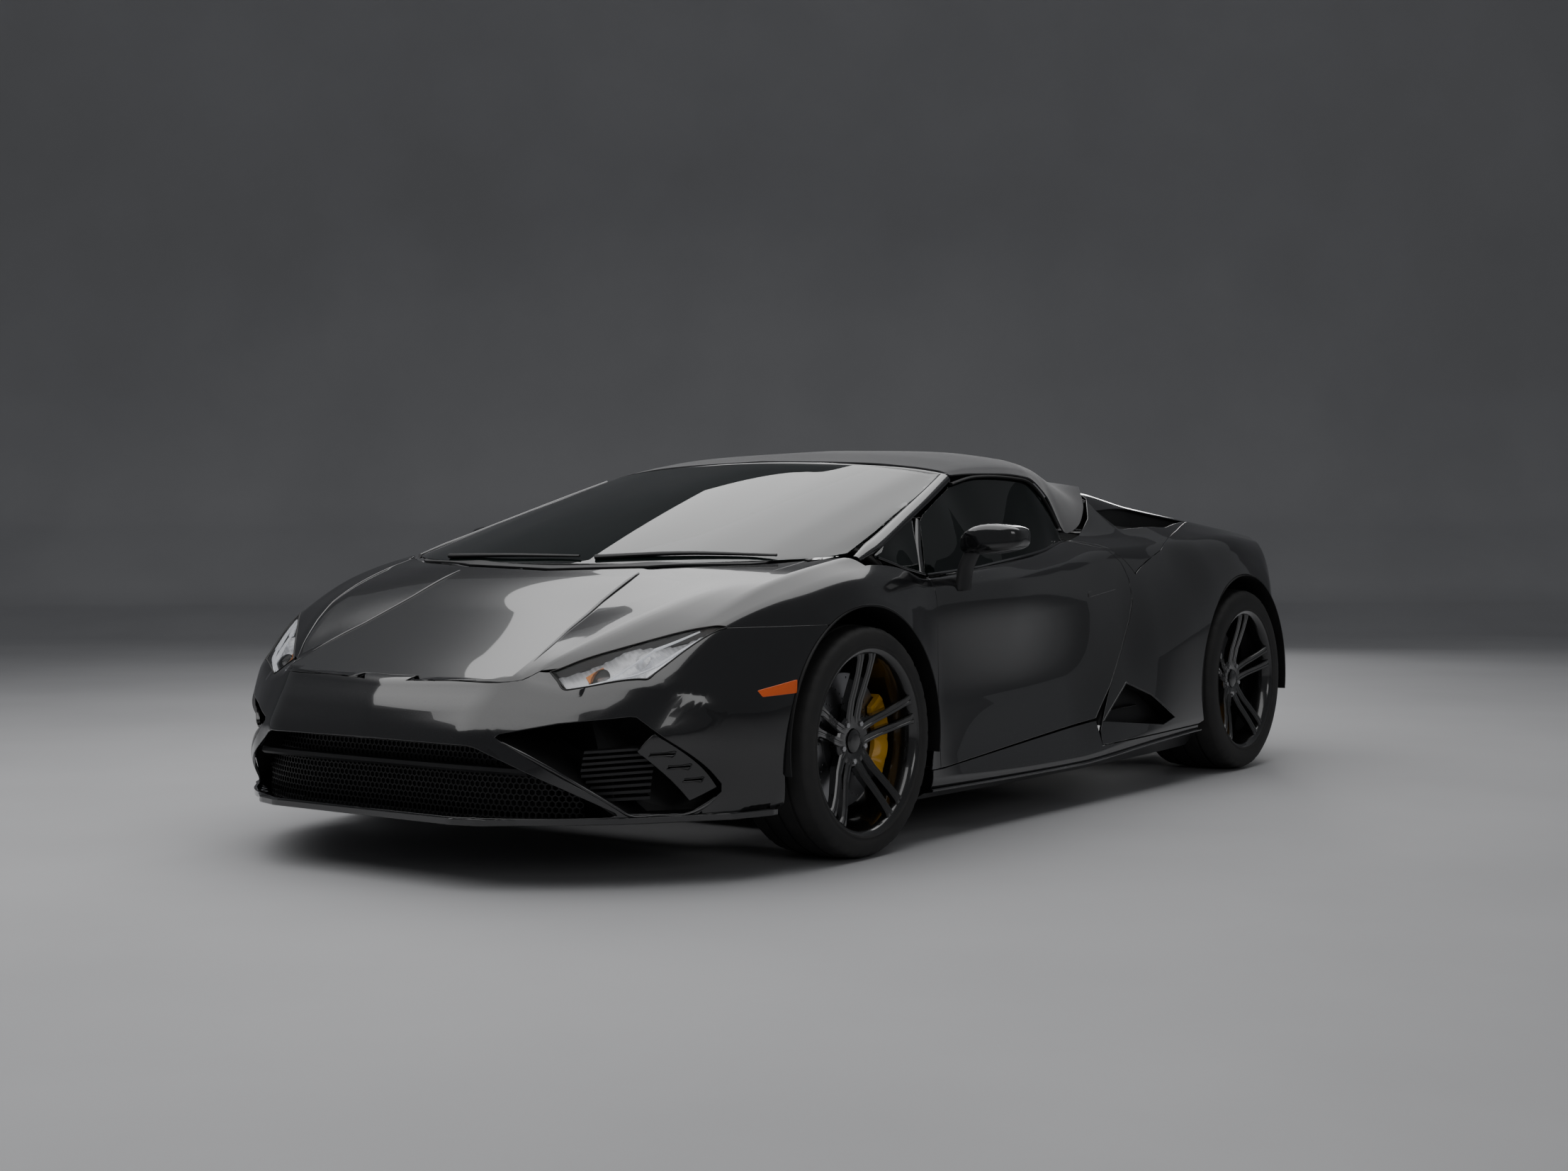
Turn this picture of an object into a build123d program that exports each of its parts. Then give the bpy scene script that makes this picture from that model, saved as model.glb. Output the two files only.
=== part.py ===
from build123d import *
import os
from math import cos, hypot, pi, radians, sin

os.makedirs("parts", exist_ok=True)

# A two-seat mid-engined sports car with a folding fabric roof.
# Millimetres. The nose points to -Y, the left side to +X, the ground is z = 0.

# ---------------------------------------------------------------- driving sizes
front_axle_y = -1260
rear_axle_y = 1360
front_wheel_x = 834
rear_wheel_x = 810
front_tyre_radius = 327
rear_tyre_radius = 345
front_tyre_width = 245
rear_tyre_width = 305
rim_seat_radius = 254
front_arch_radius = 383
rear_arch_radius = 400
wheel_well_x = 535
rear_well_x = 610
skin = 9
door_thickness = 70
door_inner_radius = 110
door_hinge_x = 850
door_hinge_y = -740
door_swing_gap = 6
door_hinge_heights = (390, 600)
door_hinge_pocket = 26
door_eye_half = 5
panel_gap = 6
lid_gap = 6
glass_thickness = 5
fabric_thickness = 6
seat_gap = 0.3
floor_thickness = 30
hood_hinge_y = -1306
hood_hinge_z = 808
hood_hinge_x = 750
cover_hinge_y = 787
cover_hinge_z = 956
cover_hinge_x = 240
hinge_pin_radius = 5
hinge_boss_radius = 13
hinge_plate = 10
running_gap = 0.05
steer_axis_x = 790
ball_pin_radius = 8
arm_half_width = 25
lower_arm_z = 180
upper_arm_z = 458
rear_lower_arm_z = 290
rear_upper_arm_z = 364
arm_thickness = 16
spindle_radius = 28
lamp_recess = 9
lamp_depth = 50
disc_radius = 190
disc_thickness = 34
spoke_count = 5

# ---------------------------------------------------------------- body lines
# Each line runs from nose to tail as (y, x, z) on the left half of the body.
ridge_line = [
    (-2340, 436, 458), (-2185, 428, 524), (-2042, 414, 587), (-1800, 388, 690), (-1558, 361, 793),
    (-1450, 352, 826), (-1180, 352, 850), (-500, 352, 830), (0, 352, 850), (400, 350, 920),
    (560, 345, 955), (700, 338, 966), (1000, 345, 938), (1400, 400, 905), (1800, 440, 872),
    (2150, 470, 845), (2300, 480, 832),
]
hump_line = [
    (-2340, 456, 442), (-2200, 440, 504), (-2084, 442, 563), (-1800, 511, 699), (-1558, 539, 789),
    (-1450, 550, 818), (-1180, 576, 850), (-500, 571, 825), (0, 546, 854), (400, 520, 932),
    (560, 500, 986), (680, 470, 1056), (1000, 480, 1012), (1400, 535, 957), (1800, 580, 908),
    (2150, 590, 852), (2300, 592, 836),
]
lid_line = [
    (-2340, 475, 425), (-2200, 450, 488), (-2084, 467, 555), (-2008, 519, 604), (-1898, 586, 662),
    (-1785, 642, 712), (-1664, 682, 753), (-1539, 723, 784), (-1413, 758, 812), (-1182, 800, 850),
    (-880, 800, 800), (-500, 790, 820), (0, 740, 858), (285, 700, 900), (400, 690, 925),
    (560, 660, 985), (680, 600, 1056), (1000, 630, 1008), (1400, 690, 953), (1800, 710, 905),
    (2150, 690, 850), (2300, 680, 835),
]
crest_line = [
    (-2340, 520, 400), (-2100, 560, 500), (-1979, 650, 575), (-1759, 775, 690), (-1539, 815, 778),
    (-1300, 850, 830), (-1182, 872, 845), (-1000, 895, 810), (-880, 900, 775), (-500, 880, 798),
    (0, 815, 842), (285, 750, 882), (400, 755, 888), (560, 760, 892), (700, 760, 897),
    (1000, 780, 912), (1400, 770, 925), (1800, 780, 890), (2150, 750, 832), (2300, 735, 815),
]
shoulder_line = [
    (-2340, 600, 330), (-2100, 690, 450), (-1979, 756, 520), (-1759, 832, 664), (-1539, 890, 730),
    (-1260, 925, 785), (-1000, 930, 750), (-850, 925, 735), (-400, 925, 745), (0, 900, 780),
    (400, 875, 830), (830, 860, 845), (1100, 885, 865), (1360, 900, 880), (1700, 885, 855),
    (2000, 850, 800), (2300, 800, 760),
]
flank_line = [
    (-2340, 680, 300), (-2100, 780, 380), (-1900, 870, 440), (-1700, 935, 490), (-1600, 950, 540),
    (-1450, 960, 640), (-1260, 962, 690), (-1050, 955, 640), (-900, 925, 560), (-800, 912, 500),
    (0, 885, 480), (400, 905, 500), (640, 940, 540), (900, 960, 620), (1150, 966, 700),
    (1360, 966, 730), (1600, 960, 690), (1750, 945, 600), (1950, 910, 540), (2300, 840, 520),
]
tuck_line = [
    (-2340, 690, 215), (-2000, 840, 240), (-1700, 930, 260), (-1500, 950, 300), (-1050, 945, 300),
    (-850, 925, 300), (0, 900, 320), (400, 925, 380), (640, 945, 380), (900, 955, 400),
    (1360, 960, 400), (1750, 940, 380), (2000, 900, 360), (2300, 820, 340),
]
sill_line = [
    (-2340, 680, 184), (-1800, 880, 186), (-1640, 912, 186), (-880, 932, 160), (0, 945, 150),
    (640, 955, 180), (900, 955, 190), (1360, 955, 200), (1700, 940, 225), (2000, 890, 255),
    (2300, 800, 280),
]
floor_line = [
    (-2340, 610, 168), (-1800, 810, 168), (-1640, 828, 168), (-880, 862, 115), (0, 875, 110), (640, 885, 112),
    (1000, 885, 118), (1360, 885, 140), (1700, 870, 170), (2000, 820, 215), (2300, 730, 255),
]
body_lines = (ridge_line, hump_line, lid_line, crest_line, shoulder_line, flank_line, tuck_line, sill_line,
              floor_line)

# Plan outlines of the nose and the tail, (x, y) from the middle to the side, at each height.
nose_plans = {
    60: [(0, -2266), (330, -2266), (540, -2180), (700, -2022), (800, -1880), (858, -1790), (935, -1600)],
    200: [(0, -2272), (345, -2270), (550, -2182), (705, -2025), (803, -1883), (860, -1795), (940, -1600)],
    375: [(0, -2271), (367, -2264), (560, -2165), (735, -2040), (848, -1900), (912, -1765), (955, -1600)],
    450: [(0, -2246), (372, -2228), (562, -2132), (748, -2010), (856, -1885), (916, -1762), (958, -1600)],
    520: [(0, -2192), (392, -2172), (567, -2085), (760, -1970), (862, -1870), (920, -1760), (960, -1600)],
    720: [(0, -2090), (392, -2070), (567, -2000), (770, -1870), (870, -1790), (930, -1700), (970, -1590)],
    1300: [(0, -1790), (392, -1770), (567, -1700), (770, -1570), (870, -1490), (930, -1400), (980, -1290)],
}
tail_plans = {
    60: [(0, 2130), (400, 2120), (600, 2070), (715, 1985), (800, 1880), (880, 1740), (960, 1590)],
    300: [(0, 2215), (400, 2200), (600, 2140), (715, 2035), (800, 1920), (880, 1785), (965, 1600)],
    560: [(0, 2240), (400, 2225), (600, 2165), (715, 2060), (800, 1945), (885, 1800), (968, 1600)],
    760: [(0, 2215), (400, 2200), (590, 2125), (700, 2005), (785, 1890), (870, 1760), (968, 1590)],
    880: [(0, 2190), (390, 2170), (560, 2085), (670, 1965), (750, 1855), (830, 1750), (968, 1590)],
    1300: [(0, 2150), (390, 2130), (560, 2045), (670, 1925), (750, 1815), (830, 1710), (968, 1560)],
}


def along(line, y):
    """The (x, z) point of a body line at the station y, on a smooth curve through its points."""
    last = len(line) - 2
    k = 0
    while k < last and y > line[k + 1][0]:
        k += 1
    y0, y1 = line[k][0], line[k + 1][0]
    span = y1 - y0
    t = (y - y0) / span
    before = line[max(k - 1, 0)]
    after = line[min(k + 2, len(line) - 1)]
    point = []
    for axis in (1, 2):
        a, b = line[k][axis], line[k + 1][axis]
        slope = (b - a) / span
        start = slope if k == 0 else blend_slope(slope, (a - before[axis]) / (y0 - before[0]))
        end = slope if k == last else blend_slope(slope, (after[axis] - b) / (after[0] - y1))
        h = t * t * (3 - 2 * t)
        point.append(a * (1 - h) + b * h + span * (start * t * (1 - t) ** 2 - end * t * t * (1 - t)))
    return point[0], point[1]


def blend_slope(first, second):
    """A slope that never overshoots where two spans meet."""
    if first * second <= 0:
        return 0
    return 2 * first * second / (first + second)


def inset(points, depth):
    """A closed outline moved inward by depth; its points run anticlockwise."""
    moved = []
    count = len(points)
    for k in range(count):
        ax, ay = points[k - 1]
        bx, by = points[k]
        cx, cy = points[(k + 1) % count]
        first = hypot(bx - ax, by - ay)
        second = hypot(cx - bx, cy - by)
        nx = -(by - ay) / first - (cy - by) / second
        ny = (bx - ax) / first + (cx - bx) / second
        size = hypot(nx, ny)
        reach = min(2 * depth / size, 1.6 * depth)
        moved.append((bx + nx / size * reach, by + ny / size * reach))
    return moved


def body_form(stations, depth):
    """The body between the first and last station, with every wall moved inward by depth."""
    with BuildPart() as form:
        for y in stations:
            left = [along(line, y) for line in body_lines]
            left.reverse()
            right = [(-x, z) for x, z in reversed(left)]
            outline = inset(left + right, depth) if depth else left + right
            with BuildSketch(Plane.XZ.offset(-y)):
                with BuildLine():
                    Polyline(*outline, close=True)
                make_face()
        loft()
    return form.part


def end_form(plans, depth, back):
    """The car's plan from the line y = back to the nose or the tail, moved inward by depth."""
    with BuildPart() as form:
        for height, half in plans.items():
            sign = -1 if half[0][1] < back else 1
            curve = [(x, y - sign * depth) for x, y in half]
            curve = [(x - depth * min(1, x / 600), y) for x, y in curve]
            mirrored = [(-x, y) for x, y in reversed(curve[1:])]
            with BuildSketch(Plane.XY.offset(height)):
                with BuildLine():
                    Spline(*(mirrored + curve))
                    Polyline(curve[-1], (1100, curve[-1][1] - sign * 260), (1100, back), (-1100, back),
                             (-1100, curve[-1][1] - sign * 260), mirrored[0])
                make_face()
        loft(ruled=True)
    return form.part


def plan_prism(points, low, high):
    """A vertical prism over an (x, y) outline."""
    with BuildPart() as prism:
        with BuildSketch(Plane.XY.offset(low)):
            with BuildLine():
                Polyline(*points, close=True)
            make_face()
        extrude(amount=high - low)
    return prism.part


def side_prism(points, inner, outer):
    """A prism across the car over a (y, z) outline."""
    with BuildPart() as prism:
        with BuildSketch(Plane.YZ.offset(inner)):
            with BuildLine():
                Polyline(*points, close=True)
            make_face()
        extrude(amount=outer - inner)
    return prism.part


def arch(axle_y, radius, grow, inner, outer):
    """The round space of a wheel well."""
    height = front_tyre_radius if axle_y < 0 else rear_tyre_radius
    with BuildPart() as space:
        with BuildSketch(Plane.YZ.offset(inner)):
            with Locations((axle_y, height)):
                Circle(radius + grow)
        extrude(amount=outer - inner)
    return space.part


def both_sides(points):
    """A half outline with its mirror image, closed across the middle."""
    return points + [(-x, y) for x, y in reversed(points) if x > 0]


def thin_outline(outer, thickness):
    """A thin closed outline under an open one that runs from the middle outward."""
    inner = []
    for k in range(len(outer)):
        ax, az = outer[max(k - 1, 0)]
        cx, cz = outer[min(k + 1, len(outer) - 1)]
        size = hypot(cx - ax, cz - az)
        inner.append((outer[k][0] + (cz - az) / size * thickness, outer[k][1] - (cx - ax) / size * thickness))
    inner[0] = (0, outer[0][1] - thickness)
    return outer + inner[::-1]


# ---------------------------------------------------------------- body forms
front_stations = [-2340, -2200, -2042, -1880, -1720, -1560, -1400, -1240, -1080, -960, -850, -740]
middle_stations = [-1000, -860, -720, -520, -300, -80, 140, 340, 480, 640]
rear_stations = [200, 400, 560, 680, 850, 1050, 1360, 1600, 1850, 2080, 2300]
well_back = -600
well_front = 600

with BuildPart() as front_body:
    add(body_form(front_stations, 0))
    add(end_form(nose_plans, 0, well_back), mode=Mode.INTERSECT)
with BuildPart() as front_core:
    add(body_form(front_stations, skin))
    add(end_form(nose_plans, skin, well_back), mode=Mode.INTERSECT)
with BuildPart() as front_shell:
    add(front_body.part)
    add(front_core.part, mode=Mode.SUBTRACT)
    add(plan_prism([(0, -2400), (1100, -2400), (1100, -600), (0, -600)], 0, 1300), mode=Mode.INTERSECT)
    add(arch(front_axle_y, front_arch_radius, 0, wheel_well_x, 1000), mode=Mode.SUBTRACT)

with BuildPart() as rear_body:
    add(body_form(rear_stations, 0))
    add(end_form(tail_plans, 0, well_front - 1200), mode=Mode.INTERSECT)
with BuildPart() as rear_core:
    add(body_form(rear_stations, skin))
    add(end_form(tail_plans, skin, well_front - 1200), mode=Mode.INTERSECT)
with BuildPart() as rear_shell:
    add(rear_body.part)
    add(rear_core.part, mode=Mode.SUBTRACT)
    add(plan_prism([(0, -200), (1100, -200), (1100, 2400), (0, 2400)], 0, 1300), mode=Mode.INTERSECT)
    add(arch(rear_axle_y, rear_arch_radius, 0, rear_well_x, 1000), mode=Mode.SUBTRACT)

with BuildPart() as middle_body:
    add(body_form(middle_stations, 0))
with BuildPart() as door_wall:
    add(middle_body.part)
    add(middle_body.part.moved(Location((-door_thickness, 0, 0))), mode=Mode.SUBTRACT)
    add(plan_prism([(0, -950), (1100, -950), (1100, 630), (0, 630)], 0, 1300), mode=Mode.INTERSECT)

# ---------------------------------------------------------------- panel outlines
hood_side = [(x, y) for y, x, z in lid_line if -2090 < y < -1400]
hood_outline = ([(0, -2188), (118, -2182), (150, -2168)] + hood_side
                + [(776, -1318), (640, -1408), (350, -1508), (0, -1535)])
cowl_outline = [(0, -1529), (351, -1502), (642, -1402), (680, -1372), (680, -1330), (600, -1350), (0, -1430)]
lamp_outline = [(493, -2072), (556, -2088), (734, -1970), (826, -1753)]
fender_side = [(-2066, 560), (-2056, 566), (-1759, 666), (-1400, 656), (-1300, 300), (-1000, 213),
               (-700, 213), (-700, 1000), (-2066, 1000)]
door_side = [(-900, 215), (-800, 215), (180, 282), (300, 385), (400, 500), (470, 600), (508, 670),
             (505, 740), (478, 800), (420, 850), (285, 884), (0, 844), (-500, 800), (-880, 777), (-900, 777)]
quarter_front = [(195, 240), (300, 385), (400, 500), (470, 600), (508, 670), (505, 740), (478, 800),
                 (420, 850)]
lid_outline = [(0, 790), (318, 790), (331, 1000), (386, 1400), (427, 1800), (452, 2069), (0, 2069)]
deck_outline = [(0, 700), (340, 700), (620, 690), (690, 566), (738, 405), (756, 290), (800, 410), (850, 470),
                (880, 560), (850, 830), (786, 1100), (700, 1400), (700, 2075), (0, 2075)]
slot_outline = [(668, 668), (738, 716), (762, 1060), (716, 1330), (650, 1000)]
intake_side = [(222, 268), (404, 388), (560, 338), (738, 246), (640, 226)]
bumper_split_y = 1760
bumper_split_z = 700


def grown(points, amount):
    """An outline moved outward, whichever way round it runs."""
    area = sum(points[k - 1][0] * points[k][1] - points[k][0] * points[k - 1][1] for k in range(len(points)))
    ring = points if area > 0 else points[::-1]
    return inset(ring, -amount)


def door_circle(radius, low, high):
    """The upright cylinder round the door hinge that the door's front edge lies on."""
    with BuildPart() as drum:
        with BuildSketch(Plane.XY.offset(low)):
            with Locations((door_hinge_x, door_hinge_y)):
                Circle(radius)
        extrude(amount=high - low)
    return drum.part


# ---------------------------------------------------------------- front panels
with BuildPart() as hood:
    add(front_shell.part)
    add(plan_prism(hood_outline, 440, 1000), mode=Mode.INTERSECT)
    with BuildSketch(Plane.YZ.offset(hood_hinge_x - hinge_plate / 2)):
        with BuildLine():
            Polyline((hood_hinge_y, hood_hinge_z - 12), (hood_hinge_y + 4, hood_hinge_z + 12), (-1350, 817),
                     (-1440, 801), (-1440, 790), close=True)
        make_face()
        with Locations((hood_hinge_y, hood_hinge_z)):
            Circle(hinge_boss_radius)
            Circle(hinge_pin_radius + running_gap, mode=Mode.SUBTRACT)
    extrude(amount=hinge_plate)
    mirror(about=Plane.YZ)
hood.part.label = "hood"

with BuildPart() as front_fenders:
    add(front_shell.part)
    add(side_prism(fender_side, 0, 1100), mode=Mode.INTERSECT)
    add(plan_prism(grown(both_sides(hood_outline), lid_gap), 400, 1000), mode=Mode.SUBTRACT)
    add(plan_prism(grown(lamp_outline, seat_gap), 500, 1000), mode=Mode.SUBTRACT)
    add(plan_prism([(0, -1560), (351, -1525), (640, -1425), (720, -1362), (790, -1330), (812, -1288), (850, -1246),
                    (894, -1196), (898, -1000), (898, -600), (0, -600)], 0, 1200), mode=Mode.SUBTRACT)
    add(door_circle(door_inner_radius + door_swing_gap, 0, 1200), mode=Mode.SUBTRACT)
    add(plan_prism([(700, door_hinge_y - 20), (1100, door_hinge_y - 20), (1100, -600), (700, -600)], 0, 1200),
        mode=Mode.SUBTRACT)
    mirror(about=Plane.YZ)
front_fenders.part.label = "front_fenders"

with BuildPart() as front_bumper:
    add(front_shell.part)
    add(side_prism(fender_side, 0, 1100), mode=Mode.SUBTRACT)
    add(plan_prism(grown(both_sides(hood_outline), lid_gap), 440, 1000), mode=Mode.SUBTRACT)
    add(plan_prism(grown(lamp_outline, seat_gap), 500, 1000), mode=Mode.SUBTRACT)
    add(plan_prism([(0, -1640), (875, -1640), (875, -1300), (1100, -1300), (1100, -500), (0, -500)], 0, 1200),
        mode=Mode.SUBTRACT)
    with BuildSketch(Plane.XZ.offset(1900)):
        with BuildLine():
            Polyline((0, 372), (385, 372), (596, 264), (680, 184), (0, 184), close=True)
        make_face()
        with BuildLine():
            Polyline((462, 368), (745, 446), (840, 235), (800, 188), (704, 196), (622, 264), close=True)
        make_face()
    extrude(amount=500, mode=Mode.SUBTRACT)
    mirror(about=Plane.YZ)
front_bumper.part.label = "front_bumper"

with BuildPart() as lamp_space:
    add(front_core.part)
    add(plan_prism(lamp_outline, 440, 1000), mode=Mode.INTERSECT)
    add(front_core.part.moved(Location((0, 0, -lamp_recess))), mode=Mode.SUBTRACT)
with BuildPart() as headlamps:
    add(front_core.part.moved(Location((0, 0, -seat_gap))))
    add(plan_prism(grown(lamp_outline, 12), 440, 1000), mode=Mode.INTERSECT)
    add(front_core.part.moved(Location((0, 0, -lamp_recess - lamp_depth))), mode=Mode.SUBTRACT)
    add(lamp_space.part, mode=Mode.SUBTRACT)
    mirror(about=Plane.YZ)
headlamps.part.label = "headlamps"

with BuildPart() as headlamp_lenses:
    add(front_body.part)
    add(front_core.part, mode=Mode.SUBTRACT)
    add(plan_prism(lamp_outline, 500, 1000), mode=Mode.INTERSECT)
    mirror(about=Plane.YZ)
headlamp_lenses.part.label = "headlamp_lenses"

# ---------------------------------------------------------------- doors
with BuildPart() as door_left:
    add(door_wall.part)
    add(side_prism(grown(door_side, -panel_gap / 2), 500, 1100), mode=Mode.INTERSECT)
    with BuildSketch(Plane.XY):
        with Locations((door_hinge_x, door_hinge_y)):
            Circle(door_inner_radius)
        with BuildLine():
            Polyline((500, door_hinge_y), (1100, door_hinge_y), (1100, 700), (500, 700), close=True)
        make_face()
    extrude(amount=1000, mode=Mode.INTERSECT)
    for z in door_hinge_heights:
        with BuildSketch(Plane.XY.offset(z - 24)):
            with Locations((door_hinge_x, door_hinge_y)):
                Circle(door_hinge_pocket)
        extrude(amount=48, mode=Mode.SUBTRACT)
        with BuildSketch(Plane.XY.offset(z - door_eye_half)):
            with Locations((door_hinge_x, door_hinge_y)):
                Circle(12)
            with Locations((door_hinge_x + 20, door_hinge_y)):
                Rectangle(40, 16)
            with Locations((door_hinge_x, door_hinge_y)):
                Circle(hinge_pin_radius + running_gap, mode=Mode.SUBTRACT)
        extrude(amount=2 * door_eye_half)
door_left.part.label = "door_left"
with BuildPart() as door_right:
    mirror(door_left.part, about=Plane.YZ)
door_right.part.label = "door_right"

# ---------------------------------------------------------------- rear panels
with BuildPart() as rear_quarters:
    add(rear_shell.part)
    add(side_prism(grown(quarter_front[::-1] + [(195, 190), (960, 205), (1000, 120), (1700, 120), (1700, 300),
                         (bumper_split_y, bumper_split_z), (2075, 802), (2075, 1000), (420, 1000)], 0),
                   500, 1100), mode=Mode.INTERSECT)
    add(side_prism(grown(door_side, panel_gap / 2), 500, 1100), mode=Mode.SUBTRACT)
    add(plan_prism(grown(deck_outline, seat_gap), 790, 1300), mode=Mode.SUBTRACT)
    add(plan_prism([(0, -200), (745, -200), (745, 600), (690, 700), (690, 2400), (0, 2400)], 0, 1300),
        mode=Mode.SUBTRACT)
    add(side_prism(intake_side, 500, 1100), mode=Mode.SUBTRACT)
    mirror(about=Plane.YZ)
rear_quarters.part.label = "rear_quarters"

with BuildPart() as rear_deck:
    add(rear_shell.part)
    add(plan_prism(deck_outline, 802, 1300), mode=Mode.INTERSECT)
    add(plan_prism(slot_outline, 800, 1300), mode=Mode.SUBTRACT)
    add(side_prism(grown(door_side, panel_gap / 2), 500, 1100), mode=Mode.SUBTRACT)
    add(plan_prism(grown(both_sides(lid_outline), lid_gap), 700, 1300), mode=Mode.SUBTRACT)
    add(plan_prism([(cover_hinge_x - 5, 774), (cover_hinge_x + 15, 774), (cover_hinge_x + 15, 786),
                    (cover_hinge_x - 5, 786)], 900, 1000), mode=Mode.SUBTRACT)
    for x in (cover_hinge_x - 8, cover_hinge_x + hinge_plate + 1):
        with BuildSketch(Plane.YZ.offset(x)):
            with Locations((cover_hinge_y, cover_hinge_z)):
                Circle(5)
            with Locations((cover_hinge_y - 10, cover_hinge_z - 4)):
                Rectangle(20, 6)
        extrude(amount=7)
    with BuildSketch(Plane.YZ.offset(cover_hinge_x - 8)):
        with Locations((cover_hinge_y, cover_hinge_z)):
            Circle(hinge_pin_radius / 2)
    extrude(amount=hinge_plate + 16)
    mirror(about=Plane.YZ)
rear_deck.part.label = "rear_deck"

with BuildPart() as engine_cover:
    add(rear_shell.part)
    add(plan_prism(lid_outline, 780, 1300), mode=Mode.INTERSECT)
    add(plan_prism([(cover_hinge_x - 12, 780), (cover_hinge_x + 22, 780), (cover_hinge_x + 22, 799),
                    (cover_hinge_x - 12, 799)], 900, 1000), mode=Mode.SUBTRACT)
    with BuildSketch(Plane.YZ.offset(cover_hinge_x)):
        with Locations((cover_hinge_y, cover_hinge_z)):
            Circle(7)
            with Locations((16, -5)):
                Rectangle(30, 6)
            Circle(hinge_pin_radius / 2 + running_gap, mode=Mode.SUBTRACT)
    extrude(amount=hinge_plate)
    mirror(about=Plane.YZ)
engine_cover.part.label = "engine_cover"

with BuildPart() as rear_bumper:
    add(rear_shell.part)
    add(side_prism([(1701, 100), (1701, 300), (bumper_split_y + 1, bumper_split_z - 1), (2075.3, 801), (2075.3, 1000),
                    (2400, 1000), (2400, 100)], 0, 1100), mode=Mode.INTERSECT)
    with BuildSketch(Plane.XZ.offset(-2000)):
        with BuildLine():
            Polyline((0, 780), (560, 780), (640, 560), (500, 420), (0, 420), close=True)
        make_face()
    extrude(amount=-400, mode=Mode.SUBTRACT)
    mirror(about=Plane.YZ)
rear_bumper.part.label = "rear_bumper"


# ---------------------------------------------------------------- cabin glass and roof
windshield_rows = [
    (0, (-1500, 822), (-500, 1146)), (350, (-1470, 824), (-490, 1135)), (620, (-1392, 831), (-470, 1108)),
    (676, (-1362, 833), (-448, 1092)), (730, (-1322, 836), (-620, 1034)), (800, (-1262, 840), (-930, 930)),
    (836, (-1215, 844), (-1110, 868)),
]
pillar_path = [(876, -1196, 836), (790, -820, 965), (702, -440, 1086)]
header_path = [(676, -428, 1090), (360, -468, 1126), (0, -480, 1137)]
pillar_radius = 19
header_radius = 12
side_glass_rows = [
    (-1120, (868, 832), (852, 852)), (-1000, (884, 806), (826, 896)), (-868, (884, 784), (794, 938)),
    (-700, (876, 784), (760, 988)), (-560, (866, 788), (732, 1030)), (-427, (856, 796), (708, 1058)),
    (-250, (840, 814), (698, 1086)), (-130, (826, 826), (696, 1090)), (80, (786, 848), (696, 1082)),
    (200, (756, 866), (706, 1018)), (272, (742, 878), (736, 898)),
]
roof_rows = [
    (-500, 1146, 1134, (600, 1108), (680, 1092), (700, 1082)),
    (-400, 1162, 1150, (600, 1124), (680, 1109), (700, 1094)),
    (-250, 1186, 1175, (600, 1148), (674, 1128), (701, 1102)),
    (-50, 1199, 1189, (600, 1161), (672, 1136), (701, 1105)),
    (95, 1200, 1188, (596, 1159), (670, 1131), (704, 1096)),
    (210, 1195, 1182, (588, 1151), (668, 1112), (716, 1034)),
    (300, 1188, 1174, (580, 1142), (664, 1088), (742, 906)),
    (400, 1173, 1158, (564, 1123), (650, 1060), (731, 925)),
    (550, 1140, 1124, (536, 1092), (618, 1040), (680, 995)),
    (668, 1106, 1096, (506, 1088), (566, 1080), (600, 1074)),
]
quarter_glass_side = [(-1112, 850), (-1112, 836), (-884, 788), (-762, 954), (-790, 960)]
door_glass_side = [(-862, 787), (-738, 946), (-700, 968), (-560, 1012), (-450, 1042), (-425, 1056), (-380, 1100),
                   (300, 1100), (300, 880), (285, 880), (0, 846), (-500, 802), (-862, 782)]


def glass_sheet(rows, thickness):
    """A side glass sheet lofted through upright strips, each a pair of (x, z) ends at a station y."""
    with BuildPart() as sheet:
        for y, low, high in rows:
            with BuildSketch(Plane.XZ.offset(-y)):
                with BuildLine():
                    Polyline(low, high, (high[0] - thickness, high[1]), (low[0] - thickness, low[1]), close=True)
                make_face()
        loft(ruled=True)
    return sheet.part


def bar(points, radius):
    """A round bar along a smooth path."""
    with BuildPart() as rod:
        with BuildLine():
            path = Spline(*points)
        with BuildSketch(Plane(origin=path @ 0, z_dir=path % 0)):
            Circle(radius)
        sweep(path=path)
    return rod.part


with BuildPart() as windshield:
    for x, base, top in windshield_rows:
        with BuildSketch(Plane.YZ.offset(x)):
            with BuildLine():
                Polyline(base, top, (top[0], top[1] - glass_thickness), (base[0], base[1] - glass_thickness),
                         close=True)
            make_face()
    loft(ruled=True)
    mirror(about=Plane.YZ)
windshield.part.label = "windshield"

with BuildPart() as cowl:
    add(front_shell.part.moved(Location((0, 0, 6))))
    add(plan_prism(cowl_outline, 700, 1000), mode=Mode.INTERSECT)
    mirror(about=Plane.YZ)
    add(windshield.part.moved(Location((0, 0, -seat_gap))), mode=Mode.SUBTRACT)
    add(windshield.part, mode=Mode.SUBTRACT)
cowl.part.label = "cowl"

with BuildPart() as windshield_frame:
    add(bar(pillar_path, pillar_radius))
    add(bar([(702, -440, 1086), (690, -432, 1090), (676, -428, 1092)], header_radius))
    add(bar(header_path, header_radius))
    mirror(about=Plane.YZ)
    for shift in (-seat_gap, seat_gap):
        add(windshield.part.moved(Location((0, 0, shift))), mode=Mode.SUBTRACT)
        add(front_fenders.part.moved(Location((0, shift, shift))), mode=Mode.SUBTRACT)
windshield_frame.part.label = "windshield_frame"

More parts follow.
